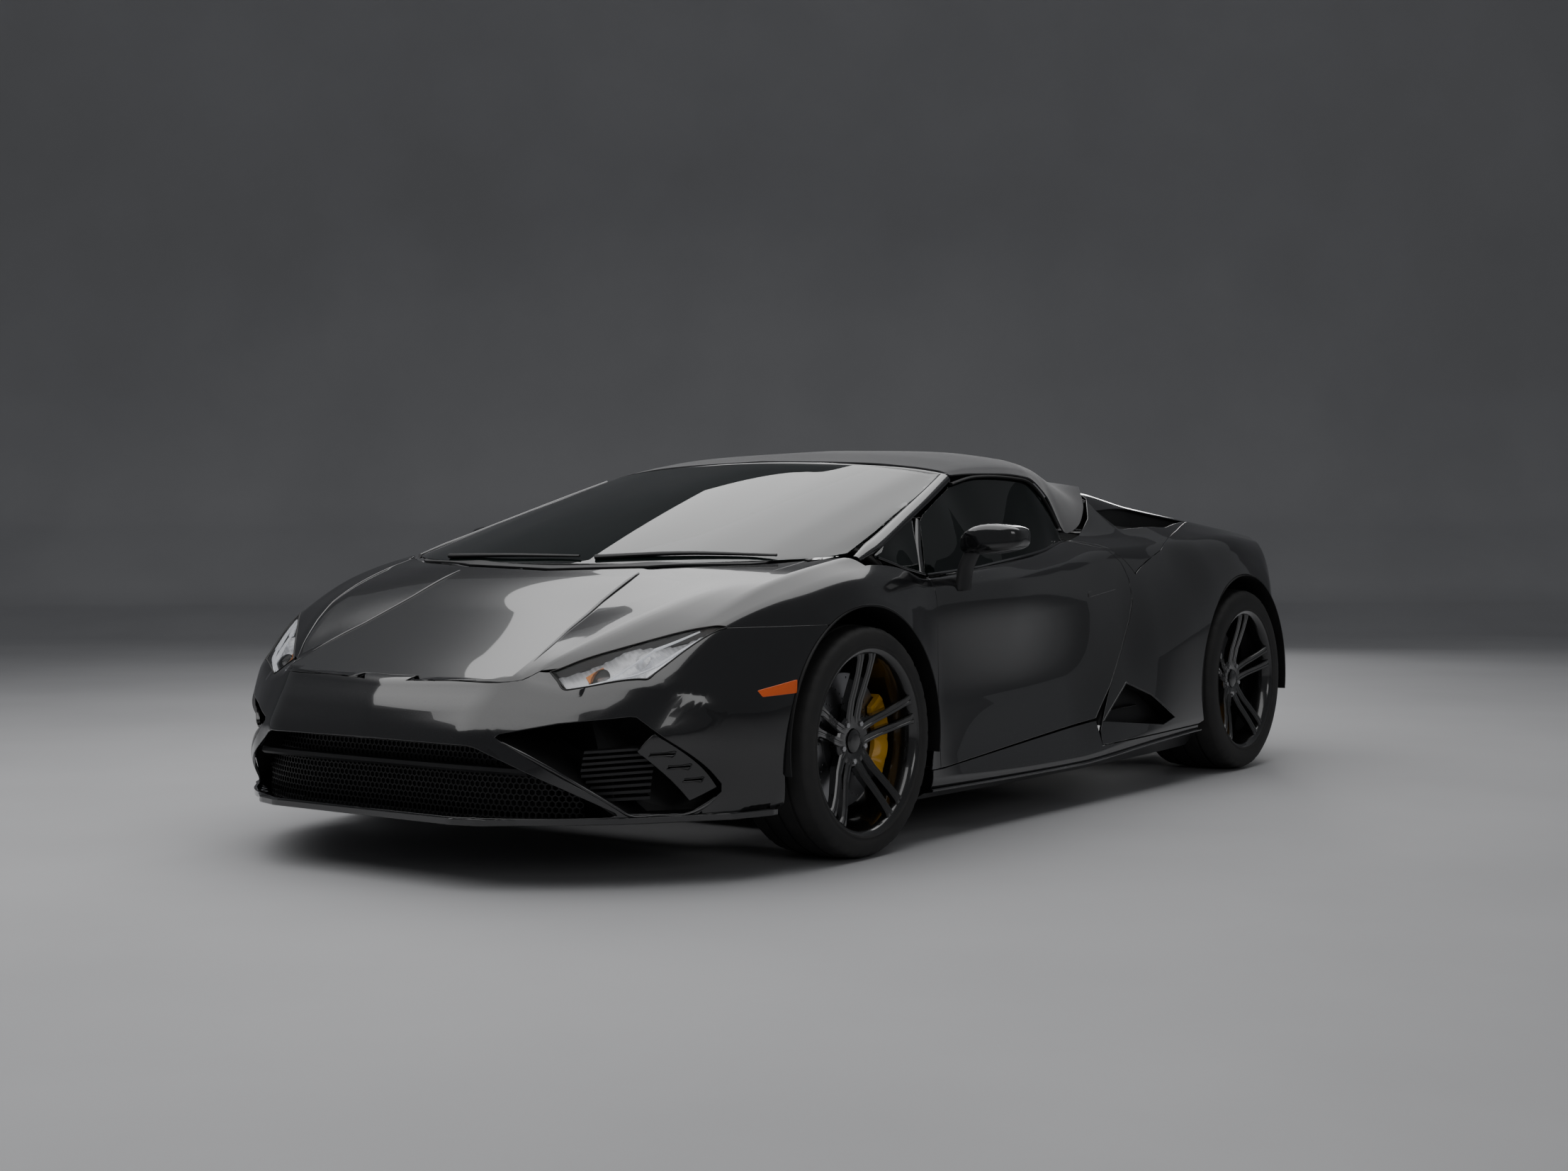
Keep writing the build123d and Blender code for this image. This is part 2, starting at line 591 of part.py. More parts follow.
with BuildPart() as quarter_windows:
    add(glass_sheet(side_glass_rows, glass_thickness))
    add(side_prism(quarter_glass_side, 500, 1100), mode=Mode.INTERSECT)
    mirror(about=Plane.YZ)
    add(windshield_frame.part, mode=Mode.SUBTRACT)
quarter_windows.part.label = "quarter_windows"

with BuildPart() as door_window_left:
    add(glass_sheet(side_glass_rows, glass_thickness))
    add(side_prism(door_glass_side, 500, 1100), mode=Mode.INTERSECT)
    add(door_left.part, mode=Mode.SUBTRACT)
door_window_left.part.label = "door_window_left"
with BuildPart() as door_window_right:
    mirror(door_window_left.part, about=Plane.YZ)
door_window_right.part.label = "door_window_right"

with BuildPart() as soft_top:
    for y, centre_z, mid_z, brow, edge, hem in roof_rows:
        with BuildSketch(Plane.XZ.offset(-y)):
            with BuildLine():
                Polyline(*thin_outline([(0, centre_z), (400, mid_z), brow, edge, hem], fabric_thickness), close=True)
            make_face()
    loft(ruled=True)
    add(plan_prism([(0, -520), (800, -520), (800, -412), (690, -418), (360, -460), (0, -473)], 900, 1300),
        mode=Mode.SUBTRACT)
    mirror(about=Plane.YZ)
    for shift in (0, seat_gap):
        add(windshield_frame.part.moved(Location((0, shift, shift))), mode=Mode.SUBTRACT)
soft_top.part.label = "soft_top"

with BuildPart() as rear_window:
    with BuildSketch(Plane.YZ.offset(-325)):
        with BuildLine():
            Polyline((664, 1096), (668, 1099), (776, 960), (770, 957), close=True)
        make_face()
    extrude(amount=650)
    for shift in (0, seat_gap):
        add(soft_top.part.moved(Location((0, 0, -shift))), mode=Mode.SUBTRACT)
        add(rear_deck.part.moved(Location((0, 0, shift))), mode=Mode.SUBTRACT)
rear_window.part.label = "rear_window"

# ---------------------------------------------------------------- wheels
def wheel(x, y, radius, width):
    """Tyre, rim and disc of a left wheel; the rim face looks to +X."""
    height = radius
    half = width / 2
    with BuildPart() as tyre:
        with BuildSketch(Plane.XZ.offset(-y)):
            with BuildLine():
                Polyline((x - half + 18, height + rim_seat_radius + seat_gap),
                         (x - half, height + rim_seat_radius + 30),
                         (x - half + 14, height + radius - 12), (x - half + 34, height + radius - 1),
                         (x, height + radius), (x + half - 34, height + radius - 1),
                         (x + half - 14, height + radius - 12), (x + half, height + rim_seat_radius + 30),
                         (x + half - 18, height + rim_seat_radius + seat_gap), close=True)
            make_face()
        revolve(axis=Axis((0, y, height), (1, 0, 0)))
    with BuildPart() as rim:
        with BuildSketch(Plane.XZ.offset(-y)):
            with BuildLine():
                Polyline((x - half + 8, height + rim_seat_radius + 10), (x - half + 18, height + rim_seat_radius),
                         (x + half - 18, height + rim_seat_radius), (x + half - 8, height + rim_seat_radius + 10),
                         (x + half - 8, height + rim_seat_radius - 4), (x + half - 40, height + 236),
                         (x - half + 20, height + 228), (x - half + 8, height + rim_seat_radius), close=True)
            make_face()
        revolve(axis=Axis((0, y, height), (1, 0, 0)))
        with BuildSketch(Plane.YZ.offset(x + half - 60)):
            with Locations((y, height)):
                Circle(76)
        extrude(amount=34)
        with BuildSketch(Plane.YZ.offset(x + half - 56)):
            with Locations((y, height)):
                with PolarLocations(0, spoke_count, start_angle=90):
                    with Locations((150, 21), (150, -21)):
                        Rectangle(176, 24)
        extrude(amount=36)
        with BuildSketch(Plane.YZ.offset(x + 24)):
            with Locations((y, height)):
                Circle(70)
        extrude(amount=half - 84)
    with BuildPart() as disc:
        with BuildSketch(Plane.YZ.offset(x - 10)):
            with Locations((y, height)):
                Circle(disc_radius)
                Circle(spindle_radius + running_gap, mode=Mode.SUBTRACT)
        extrude(amount=disc_thickness)
    return tyre.part, rim.part, disc.part


def knuckle(x, y, radius, caliper_side):
    """Hub carrier with its brake caliper, which stands still beside the turning disc."""
    height = radius
    with BuildPart() as carrier:
        with BuildSketch(Plane.YZ.offset(x - 85)):
            with Locations((y, height)):
                Circle(62)
        extrude(amount=66)
        with BuildSketch(Plane.YZ.offset(x - 78)):
            with Locations((y, height)):
                Rectangle(70, 250)
        extrude(amount=40)
        with BuildSketch(Plane.YZ.offset(x - 19)):
            with Locations((y, height)):
                Circle(spindle_radius)
        extrude(amount=39)
        if y < 0:
            with BuildSketch(Plane.XY.offset(lower_arm_z - 2)):
                with Locations((steer_axis_x, y)):
                    Circle(ball_pin_radius)
            extrude(amount=upper_arm_z + arm_thickness + 4 - lower_arm_z)
    with BuildPart() as caliper:
        with BuildSketch(Plane.YZ.offset(x - 40)):
            with BuildLine():
                CenterArc((y, height), 214, -38 if caliper_side > 0 else 142, 76)
                CenterArc((y, height), 130, -38 if caliper_side > 0 else 142, 76)
                first = (-38 if caliper_side > 0 else 142) * pi / 180
                second = (38 if caliper_side > 0 else 218) * pi / 180
                Line((y + 214 * cos(first), height + 214 * sin(first)),
                     (y + 130 * cos(first), height + 130 * sin(first)))
                Line((y + 214 * cos(second), height + 214 * sin(second)),
                     (y + 130 * cos(second), height + 130 * sin(second)))
            make_face()
        extrude(amount=86)
        with BuildSketch(Plane.YZ.offset(x - 16)):
            with Locations((y, height)):
                Circle(disc_radius + 6)
        extrude(amount=disc_thickness + 12, mode=Mode.SUBTRACT)
        with BuildSketch(Plane.YZ.offset(x - 45)):
            with Locations((y + caliper_side * 95, height)):
                Rectangle(130, 60)
        extrude(amount=20)
        add(carrier.part, mode=Mode.SUBTRACT)
    return carrier.part, caliper.part


wheel_pieces = []
rear_holders = []
for corner, x, y, radius, width, caliper_side in [
        ("front", front_wheel_x, front_axle_y, front_tyre_radius, front_tyre_width, 1),
        ("rear", rear_wheel_x, rear_axle_y, rear_tyre_radius, rear_tyre_width, -1)]:
    tyre, rim, disc = wheel(x, y, radius, width)
    carrier, caliper = knuckle(x, y, radius, caliper_side)
    turning = [("tyre", tyre), ("rim", rim), ("disc", disc)]
    if corner == "front":
        turning += [("knuckle", carrier), ("caliper", caliper)]
    else:
        for label, shape in [("rear_knuckles", carrier), ("rear_calipers", caliper)]:
            with BuildPart() as pair:
                add(shape)
                mirror(about=Plane.YZ)
            pair.part.label = label
            rear_holders.append(pair)
    for label, shape in turning:
        with BuildPart() as left_piece:
            add(shape)
        left_piece.part.label = f"{label}_{corner}_left"
        with BuildPart() as right_piece:
            mirror(shape, about=Plane.YZ)
        right_piece.part.label = f"{label}_{corner}_right"
        wheel_pieces += [left_piece, right_piece]

# ---------------------------------------------------------------- structure below and inside
tub_bottom = 115
firewall_y = -1000
bulkhead_y = 645
rail_x = 430
rail_width = 60
front_rail_z = 180
rear_rail_z = 290
with BuildPart() as floor_tub:
    with BuildSketch(Plane.XY.offset(tub_bottom)):
        with Locations((0, -110)):
            Rectangle(1500, 1480)
        with Locations((0, -925)):
            Rectangle(1000, 150)
    extrude(amount=floor_thickness)
    with BuildSketch(Plane.XY.offset(tub_bottom)):
        with Locations((0, -180)):
            Rectangle(180, 1620)
        with Locations((770, -150), (-770, -150)):
            Rectangle(110, 1000)
    extrude(amount=180)
    with BuildSketch(Plane.XY.offset(tub_bottom)):
        with Locations((0, firewall_y + 15)):
            Rectangle(1060, 30)
        with Locations((0, bulkhead_y - 20)):
            Rectangle(1320, 40)
    extrude(amount=600)
    with BuildSketch(Plane.XY.offset(tub_bottom)):
        with Locations((726, door_hinge_y + 60)):
            Rectangle(48, 50)
    extrude(amount=545)
    for z in door_hinge_heights:
        for low in (z - door_eye_half - 11, z + door_eye_half + 1):
            with BuildSketch(Plane.XY.offset(low)):
                with Locations((door_hinge_x, door_hinge_y)):
                    Circle(12)
                with BuildLine():
                    Polyline((door_hinge_x - 8, door_hinge_y - 8), (door_hinge_x + 8, door_hinge_y + 9),
                             (750, door_hinge_y + 80), (750, door_hinge_y + 40), close=True)
                make_face()
            extrude(amount=10)
        with BuildSketch(Plane.XY.offset(z - door_eye_half - 11)):
            with Locations((door_hinge_x, door_hinge_y)):
                Circle(hinge_pin_radius)
        extrude(amount=2 * door_eye_half + 22)
    mirror(about=Plane.YZ)
floor_tub.part.label = "floor_tub"

# The front frame carries the hood hinges on a beam behind the hood; the rear frame carries the engine.
with BuildPart() as frame_rails:
    with BuildSketch(Plane.XY.offset(front_rail_z)):
        with Locations((rail_x, (firewall_y - 1970) / 2), (-rail_x, (firewall_y - 1970) / 2)):
            Rectangle(rail_width, 1970 + firewall_y)
        with Locations((0, -1940)):
            Rectangle(2 * rail_x + rail_width, 60)
    extrude(amount=110)
    with BuildSketch(Plane.XY.offset(front_rail_z)):
        with Locations((rail_x, front_axle_y), (-rail_x, front_axle_y)):
            Rectangle(rail_width, 80)
    extrude(amount=610)
    with BuildSketch(Plane.XY.offset(750)):
        with Locations((0, -1270)):
            Rectangle(1540, 40)
    extrude(amount=40)
    for x in (-766, -744 + 1, 734, 756):
        with BuildSketch(Plane.YZ.offset(x)):
            with Locations((hood_hinge_y, hood_hinge_z)):
                Circle(hinge_boss_radius)
            with BuildLine():
                Polyline((hood_hinge_y - 8, hood_hinge_z - 8), (hood_hinge_y + 10, hood_hinge_z + 6), (-1250, 790),
                         (-1250, 760), (-1290, 760), close=True)
            make_face()
        extrude(amount=hinge_plate)
    with BuildSketch(Plane.YZ.offset(734)):
        with Locations((hood_hinge_y, hood_hinge_z)):
            Circle(hinge_pin_radius)
    extrude(amount=32)
    with BuildSketch(Plane.YZ.offset(-766)):
        with Locations((hood_hinge_y, hood_hinge_z)):
            Circle(hinge_pin_radius)
    extrude(amount=32)
    with BuildSketch(Plane.XY.offset(rear_rail_z)):
        with Locations((rail_x, (bulkhead_y + 1995) / 2), (-rail_x, (bulkhead_y + 1995) / 2)):
            Rectangle(rail_width, 1995 - bulkhead_y)
        with Locations((0, 1965)):
            Rectangle(2 * rail_x + rail_width, 60)
    extrude(amount=90)
frame_rails.part.label = "frame_rails"

with BuildPart() as suspension_arms:
    for z in (lower_arm_z, upper_arm_z):
        with BuildSketch(Plane.XY.offset(z)):
            with BuildLine():
                Polyline((rail_x + rail_width / 2, front_axle_y - 40), (rail_x + rail_width / 2, front_axle_y + 40),
                         (steer_axis_x + 10, front_axle_y + 20), (steer_axis_x + 10, front_axle_y - 20), close=True)
            make_face()
            with Locations((steer_axis_x, front_axle_y)):
                Circle(ball_pin_radius + running_gap, mode=Mode.SUBTRACT)
        extrude(amount=arm_thickness)
    for z in (rear_lower_arm_z, rear_upper_arm_z):
        with BuildSketch(Plane.XY.offset(z)):
            with BuildLine():
                Polyline((rail_x + rail_width / 2, rear_axle_y - 60), (rail_x + rail_width / 2, rear_axle_y + 60),
                         (rear_wheel_x - 85, rear_axle_y + 30), (rear_wheel_x - 85, rear_axle_y - 30), close=True)
            make_face()
        extrude(amount=arm_thickness)
    mirror(about=Plane.YZ)
suspension_arms.part.label = "suspension_arms"

shaft_radius = 18
with BuildPart() as drive_shafts:
    with BuildSketch(Plane.YZ.offset(rail_x + rail_width / 2)):
        with Locations((rear_axle_y, rear_tyre_radius)):
            Circle(shaft_radius)
    extrude(amount=rear_wheel_x - 85 - rail_x - rail_width / 2)
    mirror(about=Plane.YZ)
drive_shafts.part.label = "drive_shafts"

with BuildPart() as engine:
    with BuildSketch(Plane.XY.offset(300)):
        with Locations((0, 1050)):
            Rectangle(640, 720)
    extrude(amount=480)
    with BuildSketch(Plane.XY.offset(300)):
        with Locations((0, 930)):
            Rectangle(2 * rail_x - rail_width, 60)
    extrude(amount=40)
engine.part.label = "engine"

seat_base_z = tub_bottom + floor_thickness + seat_gap
with BuildPart() as seats:
    for side in (-1, 1):
        with BuildSketch(Plane.YZ.offset(side * 370 - 230)):
            with BuildLine():
                Polyline((-300, seat_base_z), (-330, 200), (-330, 330), (120, 300), (300, 860), (400, 880),
                         (330, 600), (230, 200), (210, seat_base_z), close=True)
            make_face()
        extrude(amount=460)
seats.part.label = "seats"

steering_hub = Plane(origin=(370, -475, 700), z_dir=(0, 0.93, 0.36))
column_start = 74
column_pin_radius = 10
with BuildPart() as dashboard:
    with BuildSketch(Plane.YZ.offset(-700)):
        with BuildLine():
            Polyline((-865, 560), (-865, 800), (-790, 812), (-600, 770), (-560, 700), (-640, 580), close=True)
        make_face()
    extrude(amount=1400)
    with BuildSketch(Plane.YZ.offset(-530)):
        with BuildLine():
            Polyline((firewall_y + 30 + seat_gap, 560), (firewall_y + 30 + seat_gap, 715), (-860, 800), (-860, 560),
                     close=True)
        make_face()
    extrude(amount=1060)
    with BuildSketch(steering_hub.offset(-column_start - 1)):
        Circle(26)
    extrude(amount=-80)
    with BuildSketch(steering_hub.offset(-column_start - 20)):
        Circle(column_pin_radius)
    extrude(amount=55)
dashboard.part.label = "dashboard"

with BuildPart() as steering_wheel:
    with BuildSketch(Plane(origin=steering_hub.origin + steering_hub.x_dir * 170, z_dir=steering_hub.y_dir)):
        Circle(14)
    revolve(axis=Axis(steering_hub.origin, steering_hub.z_dir))
    with BuildSketch(steering_hub.offset(-14)):
        Circle(60)
        with Locations((92, 0), (-92, 0)):
            Rectangle(140, 40)
        with Locations((0, -92)):
            Rectangle(40, 140)
    extrude(amount=28)
    with BuildSketch(steering_hub.offset(-14)):
        Circle(22)
    extrude(amount=14 - column_start)
    with BuildSketch(steering_hub.offset(-column_start)):
        Circle(column_pin_radius + running_gap)
    extrude(amount=37, mode=Mode.SUBTRACT)
steering_wheel.part.label = "steering_wheel"

# ---------------------------------------------------------------- lower trim
sill_front = [(-905, 108), (-890, 212.7), (-826, 212.7), (-826, 209), (176, 274), (190, 189.6), (470, 195.1),
              (470, 108)]
skirt_inner_x = 825 + seat_gap
with BuildPart() as side_sills:
    add(middle_body.part)
    add(side_prism(sill_front, skirt_inner_x, 1100), mode=Mode.INTERSECT)
    mirror(about=Plane.YZ)
with BuildPart() as rear_sills:
    add(rear_body.part)
    add(side_prism([(470, 108), (470, 195.1), (935, 204.2), (935, 108)], skirt_inner_x, 1100),
        mode=Mode.INTERSECT)
    mirror(about=Plane.YZ)
with BuildPart() as side_skirts:
    add(side_sills.part)
    add(rear_sills.part)
side_skirts.part.label = "side_skirts"

splitter_front_y = -2285
splitter_top = 168
splitter_thickness = 18
with BuildPart() as front_splitter:
    with BuildSketch(Plane.XY.offset(splitter_top - splitter_thickness)):
        with BuildLine():
            Polyline((0, splitter_front_y), (340, splitter_front_y), (420, -2262), (700, -2040), (880, -1800),
                     (925, -1660), (850, -1660), (790, -1820), (620, -2020), (400, -2150), (0, -2170), close=True)
        make_face()
    extrude(amount=splitter_thickness - 2 * seat_gap)
    mirror(about=Plane.YZ)
front_splitter.part.label = "front_splitter"

with BuildPart() as front_grilles:
    with BuildSketch(Plane.XZ.offset(2150)):
        with BuildLine():
            Polyline((0, 440), (400, 440), (640, 260), (640, 110), (0, 110), close=True)
        make_face()
    extrude(amount=12)
    with BuildSketch(Plane.XZ.offset(1790)):
        with BuildLine():
            Polyline((440, 420), (860, 500), (940, 400), (940, 110), (600, 110), close=True)
        make_face()
    extrude(amount=12)
    add(front_core.part, mode=Mode.INTERSECT)
    mirror(about=Plane.YZ)
    for shift in (-seat_gap, seat_gap):
        add(front_bumper.part.moved(Location((shift, 0, shift))), mode=Mode.SUBTRACT)
front_grilles.part.label = "front_grilles"

fin_half = 4
with BuildPart() as rear_diffuser:
    with BuildSketch(Plane.YZ.offset(-560)):
        with BuildLine():
            Polyline((1712, 158), (2190, 236), (2190, 248), (1712, 170), close=True)
        make_face()
    extrude(amount=1120)
    for x in (-480, -240, 0, 240, 480):
        with BuildSketch(Plane.YZ.offset(x - fin_half)):
            with BuildLine():
                Polyline((1760, 128), (2182, 150), (2182, 240), (1760, 172), close=True)
            make_face()
        extrude(amount=2 * fin_half)
    add(rear_bumper.part.moved(Location((0, 0, -seat_gap))), mode=Mode.SUBTRACT)
    add(rear_bumper.part, mode=Mode.SUBTRACT)
rear_diffuser.part.label = "rear_diffuser"

with BuildPart() as rear_grille:
    with BuildSketch(Plane.XZ.offset(-2120)):
        with BuildLine():
            Polyline((-700, 800), (700, 800), (700, 380), (-700, 380), close=True)
        make_face()
    extrude(amount=-10)
    add(rear_core.part, mode=Mode.INTERSECT)
    for shift in (-seat_gap, seat_gap):
        add(rear_bumper.part.moved(Location((shift, 0, shift))), mode=Mode.SUBTRACT)

with BuildPart() as tail_lamps:
    with BuildSketch(Plane.XZ.offset(-2130 - seat_gap)):
        with BuildLine():
            Polyline((300, 730), (500, 752), (520, 736), (470, 690), (300, 706), close=True)
        make_face()
    extrude(amount=-40)
    mirror(about=Plane.YZ)
tail_lamps.part.label = "tail_lamps"

exhaust_x = 290
exhaust_z = 560
exhaust_radius = 62
with BuildPart() as exhaust_tips:
    with BuildSketch(Plane.XZ.offset(-2050)):
        with Locations((exhaust_x, exhaust_z), (-exhaust_x, exhaust_z)):
            Circle(exhaust_radius)
            Circle(exhaust_radius - 4, mode=Mode.SUBTRACT)
    extrude(amount=-160)
exhaust_tips.part.label = "exhaust_tips"
with BuildPart() as pierced_grille:
    add(rear_grille.part)
    with BuildSketch(Plane.XZ.offset(-2100)):
        with Locations((exhaust_x, exhaust_z), (-exhaust_x, exhaust_z)):
            Circle(exhaust_radius + seat_gap)
    extrude(amount=-60, mode=Mode.SUBTRACT)
pierced_grille.part.label = "rear_grille"

mirror_outer_x = 1118
with BuildPart() as mirror_left:
    with BuildSketch(Plane.YZ.offset(905)):
        with BuildLine():
            Polyline((-735, 852), (-640, 848), (-620, 905), (-740, 900), close=True)
        make_face()
    with BuildSketch(Plane.YZ.offset(990)):
        with BuildLine():
            Polyline((-760, 846), (-625, 840), (-605, 935), (-745, 938), close=True)
        make_face()
    with BuildSketch(Plane.YZ.offset(mirror_outer_x)):
        with BuildLine():
            Polyline((-720, 868), (-630, 862), (-620, 918), (-700, 922), close=True)
        make_face()
    loft()
    with BuildSketch(Plane.XY.offset(735)):
        with Locations((925, -690)):
            Rectangle(30, 70)
    extrude(amount=125)
    add(door_left.part, mode=Mode.SUBTRACT)
mirror_left.part.label = "mirror_left"
with BuildPart() as mirror_right:
    mirror(mirror_left.part, about=Plane.YZ)
mirror_right.part.label = "mirror_right"


def liner(axle_y, radius, inner_x, outer_x):
    """The thin lining over the top of a wheel well."""
    height = front_tyre_radius if axle_y < 0 else rear_tyre_radius
    with BuildPart() as shell:
        with BuildSketch(Plane.YZ.offset(inner_x)):
            with Locations((axle_y, height)):
                Circle(radius)
                Circle(radius - 4, mode=Mode.SUBTRACT)
        extrude(amount=outer_x - inner_x)
        with BuildSketch(Plane.XY.offset(-radius)):
            with Locations((700, axle_y)):
                Rectangle(800, 900)
        extrude(amount=radius + height - 60, mode=Mode.SUBTRACT)
    return shell.part


with BuildPart() as wheel_liners:
    add(liner(front_axle_y, front_arch_radius - seat_gap, wheel_well_x + 8, 950))
    add(liner(rear_axle_y, rear_arch_radius - seat_gap, rear_well_x + 8, 957))
    mirror(about=Plane.YZ)
wheel_liners.part.label = "wheel_liners"

with BuildPart() as wipers:
    for stroke in [((120, -1452, 840.6), (405, -1391, 851), (690, -1330, 845.6)),
                   ((-520, -1405, 839.4), (-230, -1440, 841.9), (60, -1452, 841.9))]:
        with BuildLine():
            arm = Spline(*stroke)
        with BuildSketch(Plane(origin=arm @ 0, x_dir=(0, 0, 1), z_dir=arm % 0)):
            Rectangle(10, 10)
        sweep(path=arm)
    add(windshield.part.moved(Location((0, 0, seat_gap))), mode=Mode.SUBTRACT)
wipers.part.label = "wipers"

duct_depth = 60
duct_wall = 6
with BuildPart() as intake_ducts:
    add(rear_core.part.moved(Location((-seat_gap, 0, 0))))
    add(side_prism(grown(intake_side, 2 * duct_wall), 700, 1100), mode=Mode.INTERSECT)
    add(rear_core.part.moved(Location((-duct_depth - duct_wall, 0, 0))), mode=Mode.SUBTRACT)
with BuildPart() as intake_space:
    add(rear_core.part)
    add(side_prism(grown(intake_side, duct_wall), 700, 1100), mode=Mode.INTERSECT)
    add(rear_core.part.moved(Location((-duct_depth, 0, 0))), mode=Mode.SUBTRACT)
with BuildPart() as slot_ducts:
    add(rear_core.part.moved(Location((0, 0, -seat_gap))))
    add(plan_prism(grown(slot_outline, 2 * duct_wall), 700, 1300), mode=Mode.INTERSECT)
    add(rear_core.part.moved(Location((0, 0, -duct_depth - duct_wall))), mode=Mode.SUBTRACT)
with BuildPart() as slot_space:
    add(rear_core.part)
    add(plan_prism(grown(slot_outline, duct_wall), 700, 1300), mode=Mode.INTERSECT)
    add(rear_core.part.moved(Location((0, 0, -duct_depth))), mode=Mode.SUBTRACT)
with BuildPart() as air_ducts:
    add(intake_ducts.part)
    add(intake_space.part, mode=Mode.SUBTRACT)
    add(slot_ducts.part)
    add(slot_space.part, mode=Mode.SUBTRACT)
    mirror(about=Plane.YZ)
air_ducts.part.label = "air_ducts"

# The whole car is drawn from a station in the cabin, then stood with its box centred.
stand = Location((0, 25, 0))
pieces = [hood, front_fenders, front_bumper, headlamps, headlamp_lenses, door_left, door_right,
          rear_quarters, rear_deck, engine_cover, rear_bumper, cowl, windshield, windshield_frame, quarter_windows,
          door_window_left, door_window_right, soft_top, rear_window, floor_tub, frame_rails,
          suspension_arms, drive_shafts, engine, seats, dashboard,
          steering_wheel, side_skirts, front_splitter, front_grilles, rear_diffuser, pierced_grille, tail_lamps,
          exhaust_tips, mirror_left, mirror_right, wheel_liners, wipers, air_ducts]
for piece in pieces + rear_holders + wheel_pieces:
    export_step(piece.part.moved(stand), f"parts/{piece.part.label}.step")
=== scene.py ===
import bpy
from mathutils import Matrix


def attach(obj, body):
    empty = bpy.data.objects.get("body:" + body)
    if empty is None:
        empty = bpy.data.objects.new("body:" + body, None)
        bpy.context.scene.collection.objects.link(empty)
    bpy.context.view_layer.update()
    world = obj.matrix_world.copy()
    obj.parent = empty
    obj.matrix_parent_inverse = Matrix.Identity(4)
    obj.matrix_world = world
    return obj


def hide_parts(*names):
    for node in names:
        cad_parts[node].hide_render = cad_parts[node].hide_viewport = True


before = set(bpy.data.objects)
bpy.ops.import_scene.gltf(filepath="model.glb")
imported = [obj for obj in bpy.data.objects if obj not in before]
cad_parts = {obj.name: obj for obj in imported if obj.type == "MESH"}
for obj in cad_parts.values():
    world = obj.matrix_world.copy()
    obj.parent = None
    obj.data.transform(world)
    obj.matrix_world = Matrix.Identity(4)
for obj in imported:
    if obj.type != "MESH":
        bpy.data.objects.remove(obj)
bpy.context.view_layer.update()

import math

import bmesh
import bpy
import numpy as np
from mathutils import Matrix, Vector
from mathutils.geometry import delaunay_2d_cdt

# ------------------------------------------------------------------ studio
# A plain pale floor that curves up into the backdrop, one large soft box over the bonnet, and two weak
# fills, so that the black paint shows its form by what it mirrors.
FLOOR_TONE = (0.46, 0.46, 0.47, 1)
BACKDROP_REACH = 20


def new_object(name, verts, faces):
    mesh = bpy.data.meshes.new(name)
    mesh.from_pydata([tuple(v) for v in verts], [], faces)
    mesh.update()
    obj = bpy.data.objects.new(name, mesh)
    bpy.context.scene.collection.objects.link(obj)
    return obj


def smooth(obj, angle=None):
    """Smooth shading; edges sharper than the angle, in degrees, stay crisp."""
    obj.data.shade_smooth()
    if angle is not None:
        obj.data.set_sharp_from_angle(angle=math.radians(angle))
    return obj


class Nodes:
    """Shorthand for building one material's or group's node tree."""

    def __init__(self, tree):
        self.tree = tree

    def feed(self, node, sockets):
        """Links or sets a node's inputs, given by name or number."""
        for key, value in sockets.items():
            if isinstance(value, bpy.types.NodeSocket):
                self.tree.links.new(value, node.inputs[key])
            else:
                node.inputs[key].default_value = value

    def add(self, kind, sockets, output=0, **settings):
        """Adds a node and gives back one of its outputs."""
        node = self.tree.nodes.new(kind)
        for key, value in settings.items():
            setattr(node, key, value)
        self.feed(node, sockets)
        return node.outputs[output]

    def math(self, operation, a, b):
        return self.add("ShaderNodeMath", {0: a, 1: b}, operation=operation)

    def noise(self, coords, scale, detail):
        return self.add("ShaderNodeTexNoise", {"Vector": coords, "Scale": scale, "Detail": detail,
                                               "Roughness": 0.55}, "Fac")

    def wave(self, coords, scale, distortion=0.0, **settings):
        return self.add("ShaderNodeTexWave", {"Vector": coords, "Scale": scale, "Distortion": distortion},
                        "Fac", **settings)

    def ramp(self, value, low, high, start=0.0, end=1.0):
        return self.add("ShaderNodeMapRange", {0: value, 1: low, 2: high, 3: start, 4: end})

    def mix(self, factor, first, second):
        return self.add("ShaderNodeMix", {0: factor, 6: first, 7: second}, 2, data_type="RGBA")

    def bump(self, height, strength, distance):
        return self.add("ShaderNodeBump", {"Height": height, "Strength": strength, "Distance": distance})


class Material(Nodes):
    """A new material's nodes, with the object's own coordinates at hand."""

    def __init__(self, name):
        self.made = bpy.data.materials.new(name)
        self.made.use_nodes = True
        super().__init__(self.made.node_tree)
        self.coords = self.add("ShaderNodeTexCoord", {}, "Object")

    def group(self, tree, **sockets):
        """Places a node group on the object's coordinates and gives back its outputs."""
        return self.add("ShaderNodeGroup", {"Coordinates": self.coords, **sockets},
                        node_tree=tree).node.outputs

    def shaded(self, **sockets):
        """Links or sets inputs of the Principled BSDF, written with low lines for spaces."""
        self.feed(self.tree.nodes["Principled BSDF"], {key.replace("_", " "): value
                                                       for key, value in sockets.items()})
        return self.made


m = Material("studio_floor")
patches = m.ramp(m.noise(m.coords, 0.55, 6), 0.35, 0.7)
floor_material = m.shaded(Base_Color=m.mix(patches, FLOOR_TONE, (0.41, 0.41, 0.42, 1)), Roughness=0.62)

